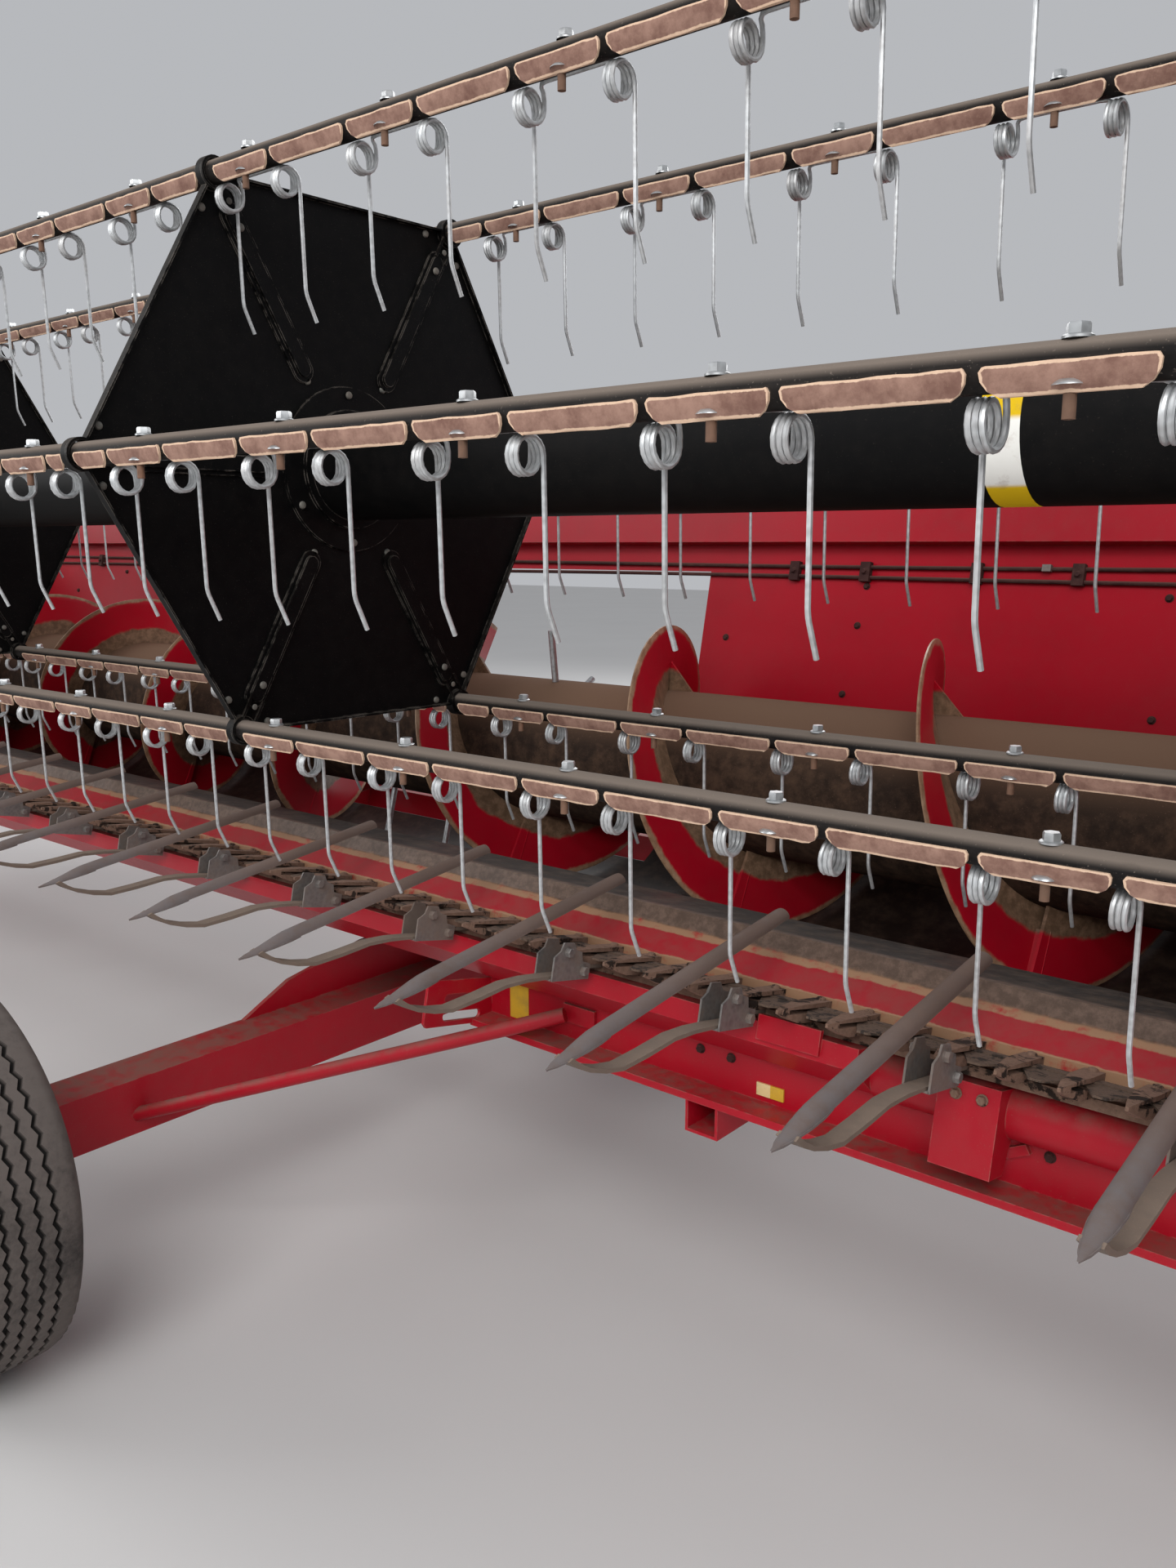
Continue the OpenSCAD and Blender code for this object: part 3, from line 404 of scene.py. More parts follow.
def lens(name, color, pale=0.6):
    """Ribbed, glossy plastic with a little dust; pale is the shade of its patches."""
    t = Tree(name)
    n = t.noise(300, 2, 0.5)
    ribs = t.node("TexWave", wave_type="BANDS", bands_direction="Y")
    ribs.inputs["Scale"].default_value = 60
    t.put(ribs.inputs["Vector"], t.geo.outputs["Object"])
    t.bump(t.math("MULTIPLY_ADD", ribs.outputs["Fac"], 0.7, n), 0.3, 0.0005)
    col = t.mix(t.step(t.noise(30), 0.4, 0.8), color, shade(color, pale))
    dusty = t.mul(t.step(t.noise(90, 5, 0.7), 0.5, 0.75), 0.25)
    return t.done(t.mix(dusty, col, DUST), 0.22, spec=0.6, coat=0.5)


STRIPE_PAIR = 0.2


def stripes(name):
    """Red and white stripes of a marker board, dusty; they slant at 45 degrees."""
    t = Tree(name)
    slant = t.math("ADD", t.along(LEVEL, 1), t.along(LEVEL, 2))
    saw = t.math("FRACT", t.mul(slant, 1 / STRIPE_PAIR))
    on = t.mul(t.step(saw, 0.0, 0.012), t.inverse(t.step(saw, 0.5, 0.512)))
    col = t.mix(on, (0.62, 0.60, 0.56), (0.46, 0.012, 0.012))
    dusty = t.step(t.math("MULTIPLY_ADD", t.noise(40, 5, 0.7), 0.5, t.mul(t.noise(3), 0.5)), 0.42, 0.75)
    t.bump(t.noise(300), 0.1, 0.0004)
    return t.done(t.mix(t.mul(dusty, 0.5), col, DUST), 0.45, spec=0.5)


M = {
    "red": painted("red_paint", RED, 0.70, 0.4, film=0.09, spec=0.3),
    "sheet": painted("red_sheet", shade(RED, 1.04), 0.45, 0.3, film=0.05, spec=0.2),
    "trough": painted("red_paint_worn", RED, 0.3, 0.3, film=0.10, spec=0.3, bands=trough_bands),
    "flight": painted("red_paint_flight", shade(RED, 1.4), 0.10, 0.0, rough=0.3, film=0.07, spec=0.35,
                      bands=flight_bands),
    "black": painted("black_paint", BLACK, 0.25, 0.55, rough=0.48, worn=(0.10, 0.09, 0.08), film=0.02, spec=0.12),
    # The spiders' light edges are worn and dusty, and also a painted highlight along their ribs
    "spider": painted("black_spider", BLACK, 0.5, 1.0, rough=0.5, worn=(0.150, 0.132, 0.115), film=0.03,
                      dirt=(0.10, 0.085, 0.072), spec=0.12),
    # The reel's tube, with its yellow tape and the tape's painted white reflection
    "tube": painted("black_tube", BLACK, 0.5, 0.0, rough=0.55, film=0.06, dirt=(0.060, 0.048, 0.040), spec=0.12,
                    bands=tape_with_glare),
    "bat": painted("black_bat", (0.006, 0.005, 0.005), 1.3, 0.2, rough=0.6, film=0.10,
                   dirt=(0.185, 0.150, 0.125), spec=0.15, cover=0.12),
    "pipe": painted("dusty_pipe", (0.045, 0.018, 0.017), 1.3, 0.0, rough=0.7, film=0.7,
                    dirt=(0.125, 0.062, 0.052), spec=0.15, cover=0.15),
    "brown": painted("dusty_auger", (0.030, 0.019, 0.014), 1.2, 0.0, rough=0.75, film=0.55,
                     dirt=(0.185, 0.108, 0.070), spec=0.15, cover=0.16),
    "zinc": metal("zinc_plate", (0.58, 0.60, 0.61), 0.34, 0.2),
    "dull": metal("dull_zinc", (0.20, 0.20, 0.18), 0.5, 0.5, metallic=0.5),
    "wire": metal("zinc_wire", (0.66, 0.68, 0.69), 0.42, 0.18, rust=0.12, metallic=0.68),
    "zinc_dusty": metal("zinc_dusty", (0.24, 0.225, 0.215), 0.5, 0.75, rust=0.35, metallic=0.55,
                        dirt=(0.20, 0.145, 0.115)),
    "lifter": painted("lifter_bar", (0.140, 0.098, 0.082), 0.8, 0.3, rough=0.6, film=0.35,
                      dirt=(0.165, 0.110, 0.088), spec=0.25, bands=lifter_bare_and_sheen),
    "strap": painted("lifter_strap", (0.185, 0.140, 0.112), 0.8, 0.2, rough=0.65, film=0.35,
                     dirt=(0.240, 0.180, 0.140), spec=0.2),
    "steel": soil("dusty_knife", (0.040, 0.030, 0.025), (0.150, 0.100, 0.074), scale=45, spot=0.55),
    "rusty": metal("rusty_steel", (0.20, 0.10, 0.06), 0.7, 0.6, rust=0.9, metallic=0.15),
    "chrome": metal("cylinder_chrome", (0.75, 0.75, 0.76), 0.12, 0.05, metallic=1.0),
    "guard": soil("dusty_guard", (0.026, 0.017, 0.013), (0.235, 0.142, 0.102), spot=0.56),
    "flap": flap_face("rusty_flap"),
    "rubber": rubber("tyre_rubber"),
    "lamp": lens("lamp_lens", (0.5, 0.012, 0.008)),
    "amber": lens("amber_lens", (0.75, 0.14, 0.01)),
    "white": lens("white_reflector", (0.80, 0.62, 0.30), 0.9),
    "yellow": painted("yellow_plate", (0.68, 0.42, 0.03), 0.4, 0.0, film=0.35),
    "silver": painted("rim_paint", (0.36, 0.36, 0.37), 0.6, 0.3, rough=0.4, film=0.4),
    "board": stripes("marker_board"),
}


# Shapes
def polar(r, deg):
    """A point at radius r and an angle in degrees."""
    return r * math.cos(math.radians(deg)), r * math.sin(math.radians(deg))


def loft_faces(rows, around):
    """Quads that join rows + 1 closed rings of corners."""
    def corner(i, k):
        return i * around + k % around

    return [(corner(i, k), corner(i, k + 1), corner(i + 1, k + 1), corner(i + 1, k))
            for i in range(rows) for k in range(around)]


def end_faces(rows, around):
    """The flat ends of the same rings."""
    return [tuple(range(around - 1, -1, -1)), tuple(rows * around + k for k in range(around))]


def flipped(faces):
    return [f[::-1] for f in faces]


class Shape:
    """Parts of one piece in millimetres: corners, faces, a material number a face, an edge value a corner."""

    def __init__(self):
        self.v, self.f, self.m, self.e = [], [], [], []

    def add(self, verts, faces, mat=0, edge=0.0):
        n = len(self.v)
        self.v += verts
        self.f += [tuple(i + n for i in f) for f in faces]
        self.m += [mat] * len(faces)
        self.e += [edge] * len(verts) if isinstance(edge, float) else edge
        return self

    def stamp(self, other, x=0.0, y=0.0, z=0.0, turn=None, mat=None):
        """Adds a copy of another shape, turned and then moved."""
        verts = [tuple(turn @ Vector(p)) for p in other.v] if turn is not None else other.v
        n = len(self.v)
        self.v += [(a + x, b + y, c + z) for a, b, c in verts]
        self.f += [tuple(i + n for i in f) for f in other.f]
        self.m += other.m if mat is None else [mat] * len(other.m)
        self.e += other.e
        return self

    def mirrored(self):
        s = Shape()
        s.v = [(-a, b, c) for a, b, c in self.v]
        s.f = flipped(self.f)
        s.m, s.e = self.m, self.e
        return s

    def sweep(self, pts, r, mat=0, sides=8):
        """A round bar through points, its frame carried from one point to the next."""
        pts = [Vector(p) for p in pts]
        last = len(pts) - 1
        side, verts = None, []
        for i, p in enumerate(pts):
            d = (pts[min(i + 1, last)] - pts[max(i - 1, 0)]).normalized()
            side = (side - d * side.dot(d) if side else d.orthogonal()).normalized()
            other = d.cross(side)
            for k in range(sides):
                a = 2 * math.pi * k / sides
                verts.append(tuple(p + (side * math.cos(a) + other * math.sin(a)) * r))
        return self.add(verts, loft_faces(last, sides) + end_faces(last, sides), mat)

    def slab(self, outline, offset, mat=0):
        """A flat plate: its outline runs anticlockwise seen from where offset points."""
        n = len(outline)
        verts = [tuple(p) for p in outline] + [tuple(Vector(p) + Vector(offset)) for p in outline]
        faces = [tuple(range(n - 1, -1, -1)), tuple(range(n, 2 * n))]
        faces += [(k, (k + 1) % n, n + (k + 1) % n, n + k) for k in range(n)]
        return self.add(verts, faces, mat)

    def lathe(self, profile, mat=0, sides=24, closed=False):
        """A profile of (radius, height) turned round the Z axis; a radius of 0 is a tip."""
        verts, rings = [], []
        angles = [2 * math.pi * k / sides for k in range(sides)]
        for r, z in profile:
            if r == 0:
                rings.append([len(verts)])
                verts.append((0.0, 0.0, z))
            else:
                rings.append(list(range(len(verts), len(verts) + sides)))
                verts += [(r * math.cos(a), r * math.sin(a), z) for a in angles]
        faces = []
        pairs = list(zip(rings, rings[1:])) + ([(rings[-1], rings[0])] if closed else [])
        for a, b in pairs:
            for k in range(sides):
                j = (k + 1) % sides
                f = tuple(dict.fromkeys((a[k % len(a)], a[j % len(a)], b[j % len(b)], b[k % len(b)])))
                if len(f) > 2:
                    faces.append(f)
        return self.add(verts, faces, mat)


def to(direction):
    """A turn that takes +Z to a direction."""
    z = Vector(direction).normalized()
    return z.to_track_quat("Z", "Y").to_matrix()


RIGHT, LEFT, FRONT = to((1, 0, 0)), to((-1, 0, 0)), to((0, -1, 0))
BOTH_WAYS = ((1, RIGHT), (-1, LEFT))
TO_METRES = Matrix.Diagonal((0.001, 0.001, 0.001, 1))
SHARP = math.radians(38)


def piece(name, shape, at, looks, body, replaces=()):
    """Makes the object from a shape and its frame, and ties it to its body."""
    me = bpy.data.meshes.new(name)
    me.from_pydata(shape.v, [], shape.f)
    me.transform(at @ TO_METRES)
    for look in looks:
        me.materials.append(M[look])
    me.polygons.foreach_set("material_index", shape.m)
    if any(shape.e):
        me.attributes.new("edge", "FLOAT", "POINT").data.foreach_set("value", shape.e)
    me.shade_smooth()
    me.set_sharp_from_angle(angle=SHARP)
    me.update()
    ob = add_to_scene(name, me)
    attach(ob, body)
    if replaces:
        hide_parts(*replaces)


def hex_bolt(af=17.0, h=8.0, washer=14.0, t=2.5, mat=0):
    """A hexagon head, af across its flats and h high, on a washer of radius washer; it stands on z 0."""
    s = Shape()
    s.lathe([(washer, 0), (washer, t * 0.6), (washer * 0.86, t), (af * 0.45, t)], mat, 16)
    r = af / math.sqrt(3)
    s.lathe([(r, t - 0.5), (r, t + h * 0.8), (r * 0.88, t + h), (0, t + h)], mat, 6)
    return s


def round_bolt(r=6.0, h=4.0, mat=0):
    """A low round head, standing on z 0."""
    return Shape().lathe([(r, 0), (r * 0.97, h * 0.4), (r * 0.8, h * 0.8), (r * 0.4, h), (0, h)], mat, 12)


# The reel's bats: tubes with wire tines and flaps
BAT_R, TUBE_R, RING_E = 486.0, 17.0, 70.0
TINES, PITCH, GAP = 6, 304.8, 137.0
SPAN = (2 * HALF - 165) / 3
SPIDERS = [-1.5 * SPAN, -0.5 * SPAN, 0.5 * SPAN, 1.5 * SPAN]
# Each bat's angle round the reel, and how far its first tine stands from a spider
FIRST, SHIFTED = 32, 110
BATS = [(120, FIRST), (180, SHIFTED), (240, FIRST), (300, SHIFTED), (0, FIRST), (60, SHIFTED)]
BAT_END = 42.0
# The coil's radius, half its length, turns, points a turn and middle, and the wire's radius
COIL_R, COIL_HALF, COIL_TURNS, COIL_POINTS, COIL_Y, COIL_Z, WIRE_R = 18.6, 8.6, 3, 16, 10, -38.0, 2.8
COIL_STUB = [(-GAP / 2, 16.5, -12.5), (-22, 16.5, -12.5), (-14, 18.5, -13), (-9.5, 23, -15), (-8.6, 27.0, -19.5),
             (-8.6, 28.6, -28)]
# The tine below the coil: lengths with their lean in degrees
TINE_RUN = [(22, 1.3), (60, 1.3), (58, 1.3), (5, 5), (5, 12), (5, 19), (36, 24.5)]


def tine():
    """Half a double tine, for the right: from the middle of its back through a stub and three turns to the tip."""
    pts, last = list(COIL_STUB), COIL_TURNS * COIL_POINTS
    for k in range(last + 1):
        y, z = polar(COIL_R, -360 * k / COIL_POINTS)
        pts.append((COIL_HALF * (2 * k / last - 1), COIL_Y + y, COIL_Z + z))
    y, z = COIL_Y + COIL_R, COIL_Z
    for length, lean in TINE_RUN:
        a = math.radians(lean)
        y, z = y + length * math.sin(a), z - length * math.cos(a)
        pts.append((COIL_HALF, y, z))
    return Shape().sweep(pts, WIRE_R)


# The flap's front from top to bottom, and how much each of its rows is cut back at the ends
FLAP_FRONT = [(-20.2, 0.5), (-20.0, -3.5), (-18.3, -10.0), (-15.4, -17.0), (-12.8, -21.5)]
FLAP_CUT = [2.5, 0, 1, 6, 14]
FLAP_THICK, FLAP_RIM, FLAP_CLEAR, FLAP_LEAST, FLAP_COLUMN = 3.2, 5, 5, 40, 16
# How far the first and the last flap of a panel stay from its spiders
FLAP_AFTER, FLAP_BEFORE = 24, 9


def flap(x0, x1, bolted):
    """A plate in front of the tube's lower half, with an uneven border; bolted adds the clamp's end."""
    s = Shape()
    n = max(2, int((x1 - x0 - 12) / FLAP_COLUMN))
    inside = [(x0 + FLAP_RIM + (x1 - x0 - 2 * FLAP_RIM) * k / n, 0) for k in range(1, n)]
    cols = [(x0, 1), (x0 + FLAP_RIM, 0)] + inside + [(x1 - FLAP_RIM, 0), (x1, 1)]
    m, rows = len(cols), len(FLAP_FRONT)
    verts, edge = [], []
    for back in (0, 1):
        for r, (y, z) in enumerate(FLAP_FRONT):
            for x, rim in cols:
                x = min(max(x, x0 + FLAP_CUT[r]), x1 - FLAP_CUT[r])
                low = random.uniform(-0.7, 0.7) if r in (0, rows - 1) and not back else 0.0
                verts.append((x, y + FLAP_THICK * back, z + low))
                edge.append(1.0 if rim or r in (0, rows - 1) or back else 0.0)
    q = m * rows
    faces = [(r * m + c, r * m + c + 1, (r + 1) * m + c + 1, (r + 1) * m + c)
             for r in range(rows - 1) for c in range(m - 1)]
    faces = flipped(faces) + [tuple(i + q for i in f) for f in faces]
    loop = [(0, c) for c in range(m)] + [(r, m - 1) for r in range(1, rows)]
    loop += [(rows - 1, c) for c in range(m - 2, -1, -1)] + [(r, 0) for r in range(rows - 2, 0, -1)]
    loop = [r * m + c for r, c in loop]
    faces += [(a, b, b + q, a + q) for a, b in zip(loop, loop[1:] + loop[:1])]
    s.add(verts, faces, 1, edge)
    if bolted:
        x = (x0 + x1) / 2
        washer = Shape().lathe([(5, 1.5), (9, 0.8), (12.5, -2.2), (12.8, -3.2), (9, -0.6), (5, 0)], 2, 18)
        s.stamp(washer, x, -10, -13)
        bolt_end = Shape().lathe([(0, -25.6), (5, -25), (5, -2), (4, 0), (0, 0.6)], 3, 10)
        s.stamp(bolt_end, x, -8, -14)
    return s


def tine_places(panel, offset):
    """Where a panel's double tines start, past its left spider; the last panel counts from that side."""
    if panel == 2:
        return [min(offset + k * PITCH, FIRST + (TINES - 1) * PITCH) for k in range(TINES)]
    return [max(SPAN + offset - PITCH * (TINES - k), FIRST) for k in range(TINES)]


def bat(number):
    """A tube with its tines, flaps and clamps between the spiders, and its crank to the control ring."""
    angle, offset = BATS[number]
    s, half_tine, clamp = Shape(), tine(), hex_bolt(15.5, 8, 11.5, 3, 2)
    left_tine = half_tine.mirrored()
    long = 2 * (HALF - BAT_END)
    tube = [(0, 0), (TUBE_R - 1, 0), (TUBE_R, 1), (TUBE_R, long - 1), (TUBE_R - 1, long), (0, long)]
    s.stamp(Shape().lathe(tube, 0, 28), -HALF + BAT_END, 0, 0, RIGHT)
    for panel in range(3):
        xs, x0 = tine_places(panel, offset), SPIDERS[panel]
        for x in xs:
            s.stamp(half_tine, x0 + x + GAP, mat=4)
            s.stamp(left_tine, x0 + x, mat=4)
            s.stamp(flap(x + FLAP_CLEAR, x + GAP - FLAP_CLEAR, True), x0)
            s.stamp(clamp, x0 + x + GAP / 2, 0, TUBE_R - 0.8)
        for k in range(TINES + 1):
            a = FLAP_AFTER if k == 0 else xs[k - 1] + GAP + FLAP_CLEAR
            b = SPAN - FLAP_BEFORE if k == TINES else xs[k] - FLAP_CLEAR
            if b - a > FLAP_LEAST:
                s.stamp(flap(a, b, False), x0)
    x = HALF - BAT_END
    upper = [polar(22, a) for a in range(0, 181, 15)]
    lower = [(y, z - RING_E) for y, z in (polar(14, a) for a in range(180, 361, 15))]
    s.slab([(x, y, z) for y, z in upper + lower], (8, 0, 0), 0)
    s.stamp(Shape().lathe([(7.4, 0), (7.4, 23), (6.4, 24), (0, 24)], 2, 20), x, 0, -RING_E, RIGHT)
    s.stamp(round_bolt(9, 1.6, 2), x + 8, 0, 0, RIGHT)
    y, z = polar(BAT_R / 1000, angle)
    name = "bat_%d" % (number + 1)
    at = REEL @ Matrix.Translation((0, y, z))
    piece(name + "_wires", s, at, ["bat", "flap", "zinc", "rusty", "wire"], name, [name])


random.seed(7)
for number in range(len(BATS)):
    bat(number)


# Spiders: bolt heads on both faces and the straps round the bats' tubes
STRAP_X, STRAP_THICK, STRAP_OUT, STRAP_IN = 12, 3.5, 24, 19.5


def spiders():
    s = Shape()
    head = round_bolt(6.5, 4, 1)
    arc = [polar(1, a) for a in range(-150, 151, 15)]
    line = [(STRAP_OUT * c, STRAP_OUT * d) for c, d in arc]
    line += [(STRAP_IN * c, STRAP_IN * d) for c, d in reversed(arc)]
    strap = Shape().slab([(0, y, z) for y, z in line], (STRAP_THICK, 0, 0), 0)
    for sx in SPIDERS:
        for a in range(0, 360, 60):
            for way, turn in BOTH_WAYS:
                x = sx + 2 * way
                y, z = polar(122, a + 30)
                s.stamp(head, x + (7 if way > 0 else 0), y, z, turn)
                for r, off in ((405, 0), (160, 0), (452, 42), (452, -42)):
                    y, z = polar(r, a)
                    py, pz = polar(off, a + 90)
                    on_rim = r == 405 and way > 0
                    s.stamp(head, x + (11 if on_rim else 0), y + py, z + pz, turn)
            # strap beside the plate, opened towards the hub, with its two ends bolted to the plate
            y, z = polar(BAT_R, a)
            turn = Matrix.Rotation(math.radians(a), 3, "X")
            s.stamp(strap, sx + STRAP_X, y, z, turn)
            for end in (-1, 1):
                tail = [(-19, end * 10.0), (-19, end * 14.5), (-58, end * 14.5), (-58, end * 10.0)]
                tail = tail if end < 0 else tail[::-1]
                lug = Shape().slab([(0, u, v) for u, v in tail], (STRAP_THICK, 0, 0), 0)
                s.stamp(lug, sx + STRAP_X, y, z, turn)
            py, pz = polar(BAT_R - 42, a)
            s.stamp(round_bolt(5, 1.4, 1), sx + 15.4, py, pz, RIGHT)
    piece("spider_bolts", s, REEL, ["black", "dull"], "reel")


spiders()


# Auger flights: turns that start a step after the last one ends, with folded plates and gussets
FLIGHT_IN, FLIGHT_OUT, FLIGHT_THICK = 161.0, 303.0, 5.9
FLIGHT_PITCH, FLIGHT_STEP = 614.0, 25.0
# Where the first turn starts along the auger, the angle at which turns meet, and the gussets' angle
FLIGHT_START, JOINT_ANGLE, GUSSET_ANGLE = 405.0, 252.0, 95
# Half the auger's length, and how far right of its middle the two hands of flights meet
AUGER_HALF, HANDS_MEET = 2709.0, 252


def flight_side(length):
    """One hand of flights, from where the hands meet to the auger's end."""
    s = Shape()
    run = FLIGHT_PITCH - FLIGHT_STEP
    over = run / 36
    radii = [FLIGHT_IN, 178, 200, 240, 280, 299.5, FLIGHT_OUT]
    half = FLIGHT_THICK / 2
    profile = [(r, -half) for r in radii] + [(r, half) for r in reversed(radii)]

    def turn(u, span, a0):
        n = max(2, int(span / run * 72))
        verts = []
        for i in range(n + 1):
            q = span * i / n
            for r, x in profile:
                y, z = polar(r, a0 + 360 * q / run)
                thin = 0.55 if r == FLIGHT_OUT else 1.0
                verts.append((u + q + x * thin, y, z))
        s.add(verts, flipped(loft_faces(n, len(profile)) + end_faces(n, len(profile))))

    turn(FLIGHT_START - FLIGHT_PITCH + run / 2, run / 2 + over, JOINT_ANGLE + 180)
    for k in range(int((length - FLIGHT_START - 60) // FLIGHT_PITCH) + 1):
        u = FLIGHT_START + k * FLIGHT_PITCH
        turn(u, min(run + over, length - u), JOINT_ANGLE)
        a, b = u - FLIGHT_STEP + over / 2 - 3, u + over / 2 + 3
        y0, y1 = FLIGHT_IN + 41, FLIGHT_OUT - 5
        plate = Shape().slab([(a, y0, -3), (b, y0, -3), (b, y1, -3), (a, y1, -3)], (0, 0, 6))
        s.stamp(plate, turn=Matrix.Rotation(math.radians(JOINT_ANGLE + 5), 3, "X"))
    for k in range(-1, int((length - FLIGHT_START - 410) // FLIGHT_PITCH) + 1):
        u = FLIGHT_START + k * FLIGHT_PITCH + run * (360 + GUSSET_ANGLE - JOINT_ANGLE) / 360
        r = FLIGHT_IN + 0.5
        gusset = Shape().slab([(u - 1, r, -3), (u + 66, r, -3), (u - 1, r + 66.5, -3)], (0, 0, 6))
        s.stamp(gusset, turn=Matrix.Rotation(math.radians(GUSSET_ANGLE), 3, "X"))
    return s


flights = flight_side(AUGER_HALF - HANDS_MEET)
flights.stamp(flight_side(AUGER_HALF + HANDS_MEET).mirrored())
piece("flights", flights, AUGER, ["flight"], "auger", ["auger_flights"])


# Tyres with zigzag ribs
TYRE_R, TYRE_X, TRACK, TRACK_Y = 335.0, 572.0, 2190.0, 93.0


BEAD_R, BEAD_W, SHOULDER_R, SHOULDER_W, TREAD_HALF = 195, 60, 328, 77, 66.0
WALL = [(BEAD_R, -BEAD_W), (203, -71), (214, -80), (228, -88.5), (244, -94.5), (260, -97.5), (278, -97.4),
        (284, -98.6), (292, -98.4), (296, -95.4), (308, -90.5), (320, -84), (SHOULDER_R, -SHOULDER_W)]
GROOVES, GROOVE_DEPTH, GROOVE_TOP, GROOVE_BOTTOM = [-39.0, -13.5, 13.5, 39.0], 8.5, 4.2, 2.6
# Waves round the tyre, and how far the grooves and shoulders step at the four corners of one
WAVES, ZIG, SWAY, LUG = 70, [0, 1, 0, -1], 3.6, 3.0


def tyre():
    """A tyre round Y: its profile holds radius, width, whether it sways, and the mark of a groove."""
    s = Shape()
    per = len(ZIG)
    n = WAVES * per
    low = TYRE_R - GROOVE_DEPTH
    crown = [(334.0, -TREAD_HALF, 0, 0.0)]
    for g in GROOVES:
        crown += [(TYRE_R, g - GROOVE_TOP, 1, 0.0), (low, g - GROOVE_BOTTOM, 1, 1.0),
                  (low, g + GROOVE_BOTTOM, 1, 1.0), (TYRE_R, g + GROOVE_TOP, 1, 0.0)]
    crown.append((334.0, TREAD_HALF, 0, 0.0))
    profile = [(r, w, 0, 0.0) for r, w in WALL] + crown + [(r, -w, 0, 0.0) for r, w in reversed(WALL)]
    m = len(profile)
    verts, edge = [], []
    for i in range(n):
        a = 2 * math.pi * i / n
        shift = SWAY * ZIG[i % per]
        for r, w, moves, mark in profile:
            lug = LUG if (abs(w) == SHOULDER_W and i % per in (0, 1)) else 0.0
            verts.append(((r + lug) * math.cos(a), w + shift * moves, (r + lug) * math.sin(a)))
            edge.append(mark)
    faces = [(i * m + k, i * m + k + 1, (i + 1) % n * m + k + 1, (i + 1) % n * m + k)
             for i in range(n) for k in range(m - 1)]
    s.add(verts, faces, 0, edge)
    # inner closing band, under the rim
    inner = []
    for i in range(n):
        a = 2 * math.pi * i / n
        inner += [(BEAD_R * math.cos(a), w, BEAD_R * math.sin(a)) for w in (-BEAD_W, BEAD_W)]
    s.add(inner, [(2 * i, 2 * ((i + 1) % n), 2 * ((i + 1) % n) + 1, 2 * i + 1) for i in range(n)])
    return s


NUTS, NUT_CIRCLE, HUB_FACE = 5, 50, 40


def wheel_trim(out):
    """Nuts, cap and valve on the rim's outer side; out is the way it faces along Y."""
    s = Shape()
    turn = to((0, out, 0))
    nut = hex_bolt(19, 13, 15, 3, 0)
    for k in range(NUTS):
        x, z = polar(NUT_CIRCLE, 360 / NUTS * k + 18)
        s.stamp(nut, x, out * HUB_FACE, z, turn)
    s.stamp(Shape().lathe([(29, 0), (29, 16), (26, 21), (18, 24), (0, 25)], 1, 24), 0, out * 39.5, 0, turn)
    x, z = polar(150, 60)
    s.stamp(Shape().lathe([(5, 0), (4.5, 22), (3.6, 23), (3.6, 34), (0, 34.5)], 2, 10), x, out * 20, z, turn)
    return s


tyre_shape = tyre()
for name, y, out in (("front", TRACK_Y - TRACK / 2, -1), ("rear", TRACK_Y + TRACK / 2, 1)):
    at = LEVEL @ Matrix.Translation((TYRE_X / 1000, y / 1000, TYRE_R / 1000))
    piece("tread_" + name, tyre_shape, at, ["rubber"], "wheel_" + name, ["tyre_" + name])
    piece("nuts_" + name, wheel_trim(out), at, ["zinc", "silver", "rubber"], "wheel_" + name)


# Crop lifters: a straight gutter bar with a flat pointed nose, a strap back under the guard and a clamp
LIFTER_X0, LIFTER_PITCH, LIFTER_RUNS, BAR_ANGLE = 178.1, 304.8, 8, 19.3
# Stations along the bar: distance from the nose, half width and height
STATIONS = [(0, 1.5, 0.8), (12, 4.5, 1.6), (30, 8.5, 3.4), (50, 11.8, 6.5), (68, 13.4, 10.0), (84, 13.8, 12.6),
            (110, 13.8, 13.2), (230, 13.8, 13.2), (330, 14.0, 13.4), (430, 13.8, 13.2), (512, 13.6, 13.0),
            (520, 12.8, 12.2)]
NOSE_SIDE = [(6, 14), (10, 32), (13.6, 58), (14.8, 84), (13.0, 104)]
# The strap's lower and upper line and the clamp's cheek, seen from the side
STRAP_LOW = [(-345, -44), (-325, -54), (-302, -61), (-270, -66), (-235, -66.8), (-185, -55), (-130, -39.5),
             (-85, -34), (-40, -31.9), (28, -31.4), (56, -19.4), (88, -19.4)]
STRAP_TOP = [(88, -14.4), (58, -14.4), (30, -26.3), (-40, -26.9), (-85, -28.6), (-130, -34), (-185, -49),
             (-235, -61), (-268, -60.4), (-300, -56), (-322, -48), (-338, -40)]
CHEEK = [(-38, -34.2), (49, -34.2), (50, -10), (30, -6), (26, 9), (11, 13), (5, 24), (-19, 25), (-24, 12),
         (-38, 3)]


def gutter():
    """The half-round bar, lofted from a flat point to its full section."""
    s = Shape()
    fan, wall, verts = 12, 2.6, []

    def arc(w, h):
        return [(w * math.cos(math.pi * k / fan), h * math.sin(math.pi * k / fan)) for k in range(fan + 1)]

    for y, w, h in STATIONS:
        inner = arc(max(w - wall, w * 0.4), max(h - wall, h * 0.3))
        verts += [(x, y, z) for x, z in arc(w, h) + inner[::-1]]
    m = 2 * (fan + 1)
    n = len(STATIONS)
    faces = flipped(loft_faces(n - 1, m))
    for i, turned in ((0, False), (n - 1, True)):
        for k in range(fan):
            q = (i * m + k, i * m + k + 1, i * m + m - 2 - k, i * m + m - 1 - k)
            faces.append(q if not turned else q[::-1])
    s.add(verts, faces, 0)
    nose = [(0, 0)] + NOSE_SIDE + [(-x, y) for x, y in reversed(NOSE_SIDE)]
    return s.slab([(x, y, -2.0) for x, y in nose], (0, 0, 2.6), 0)


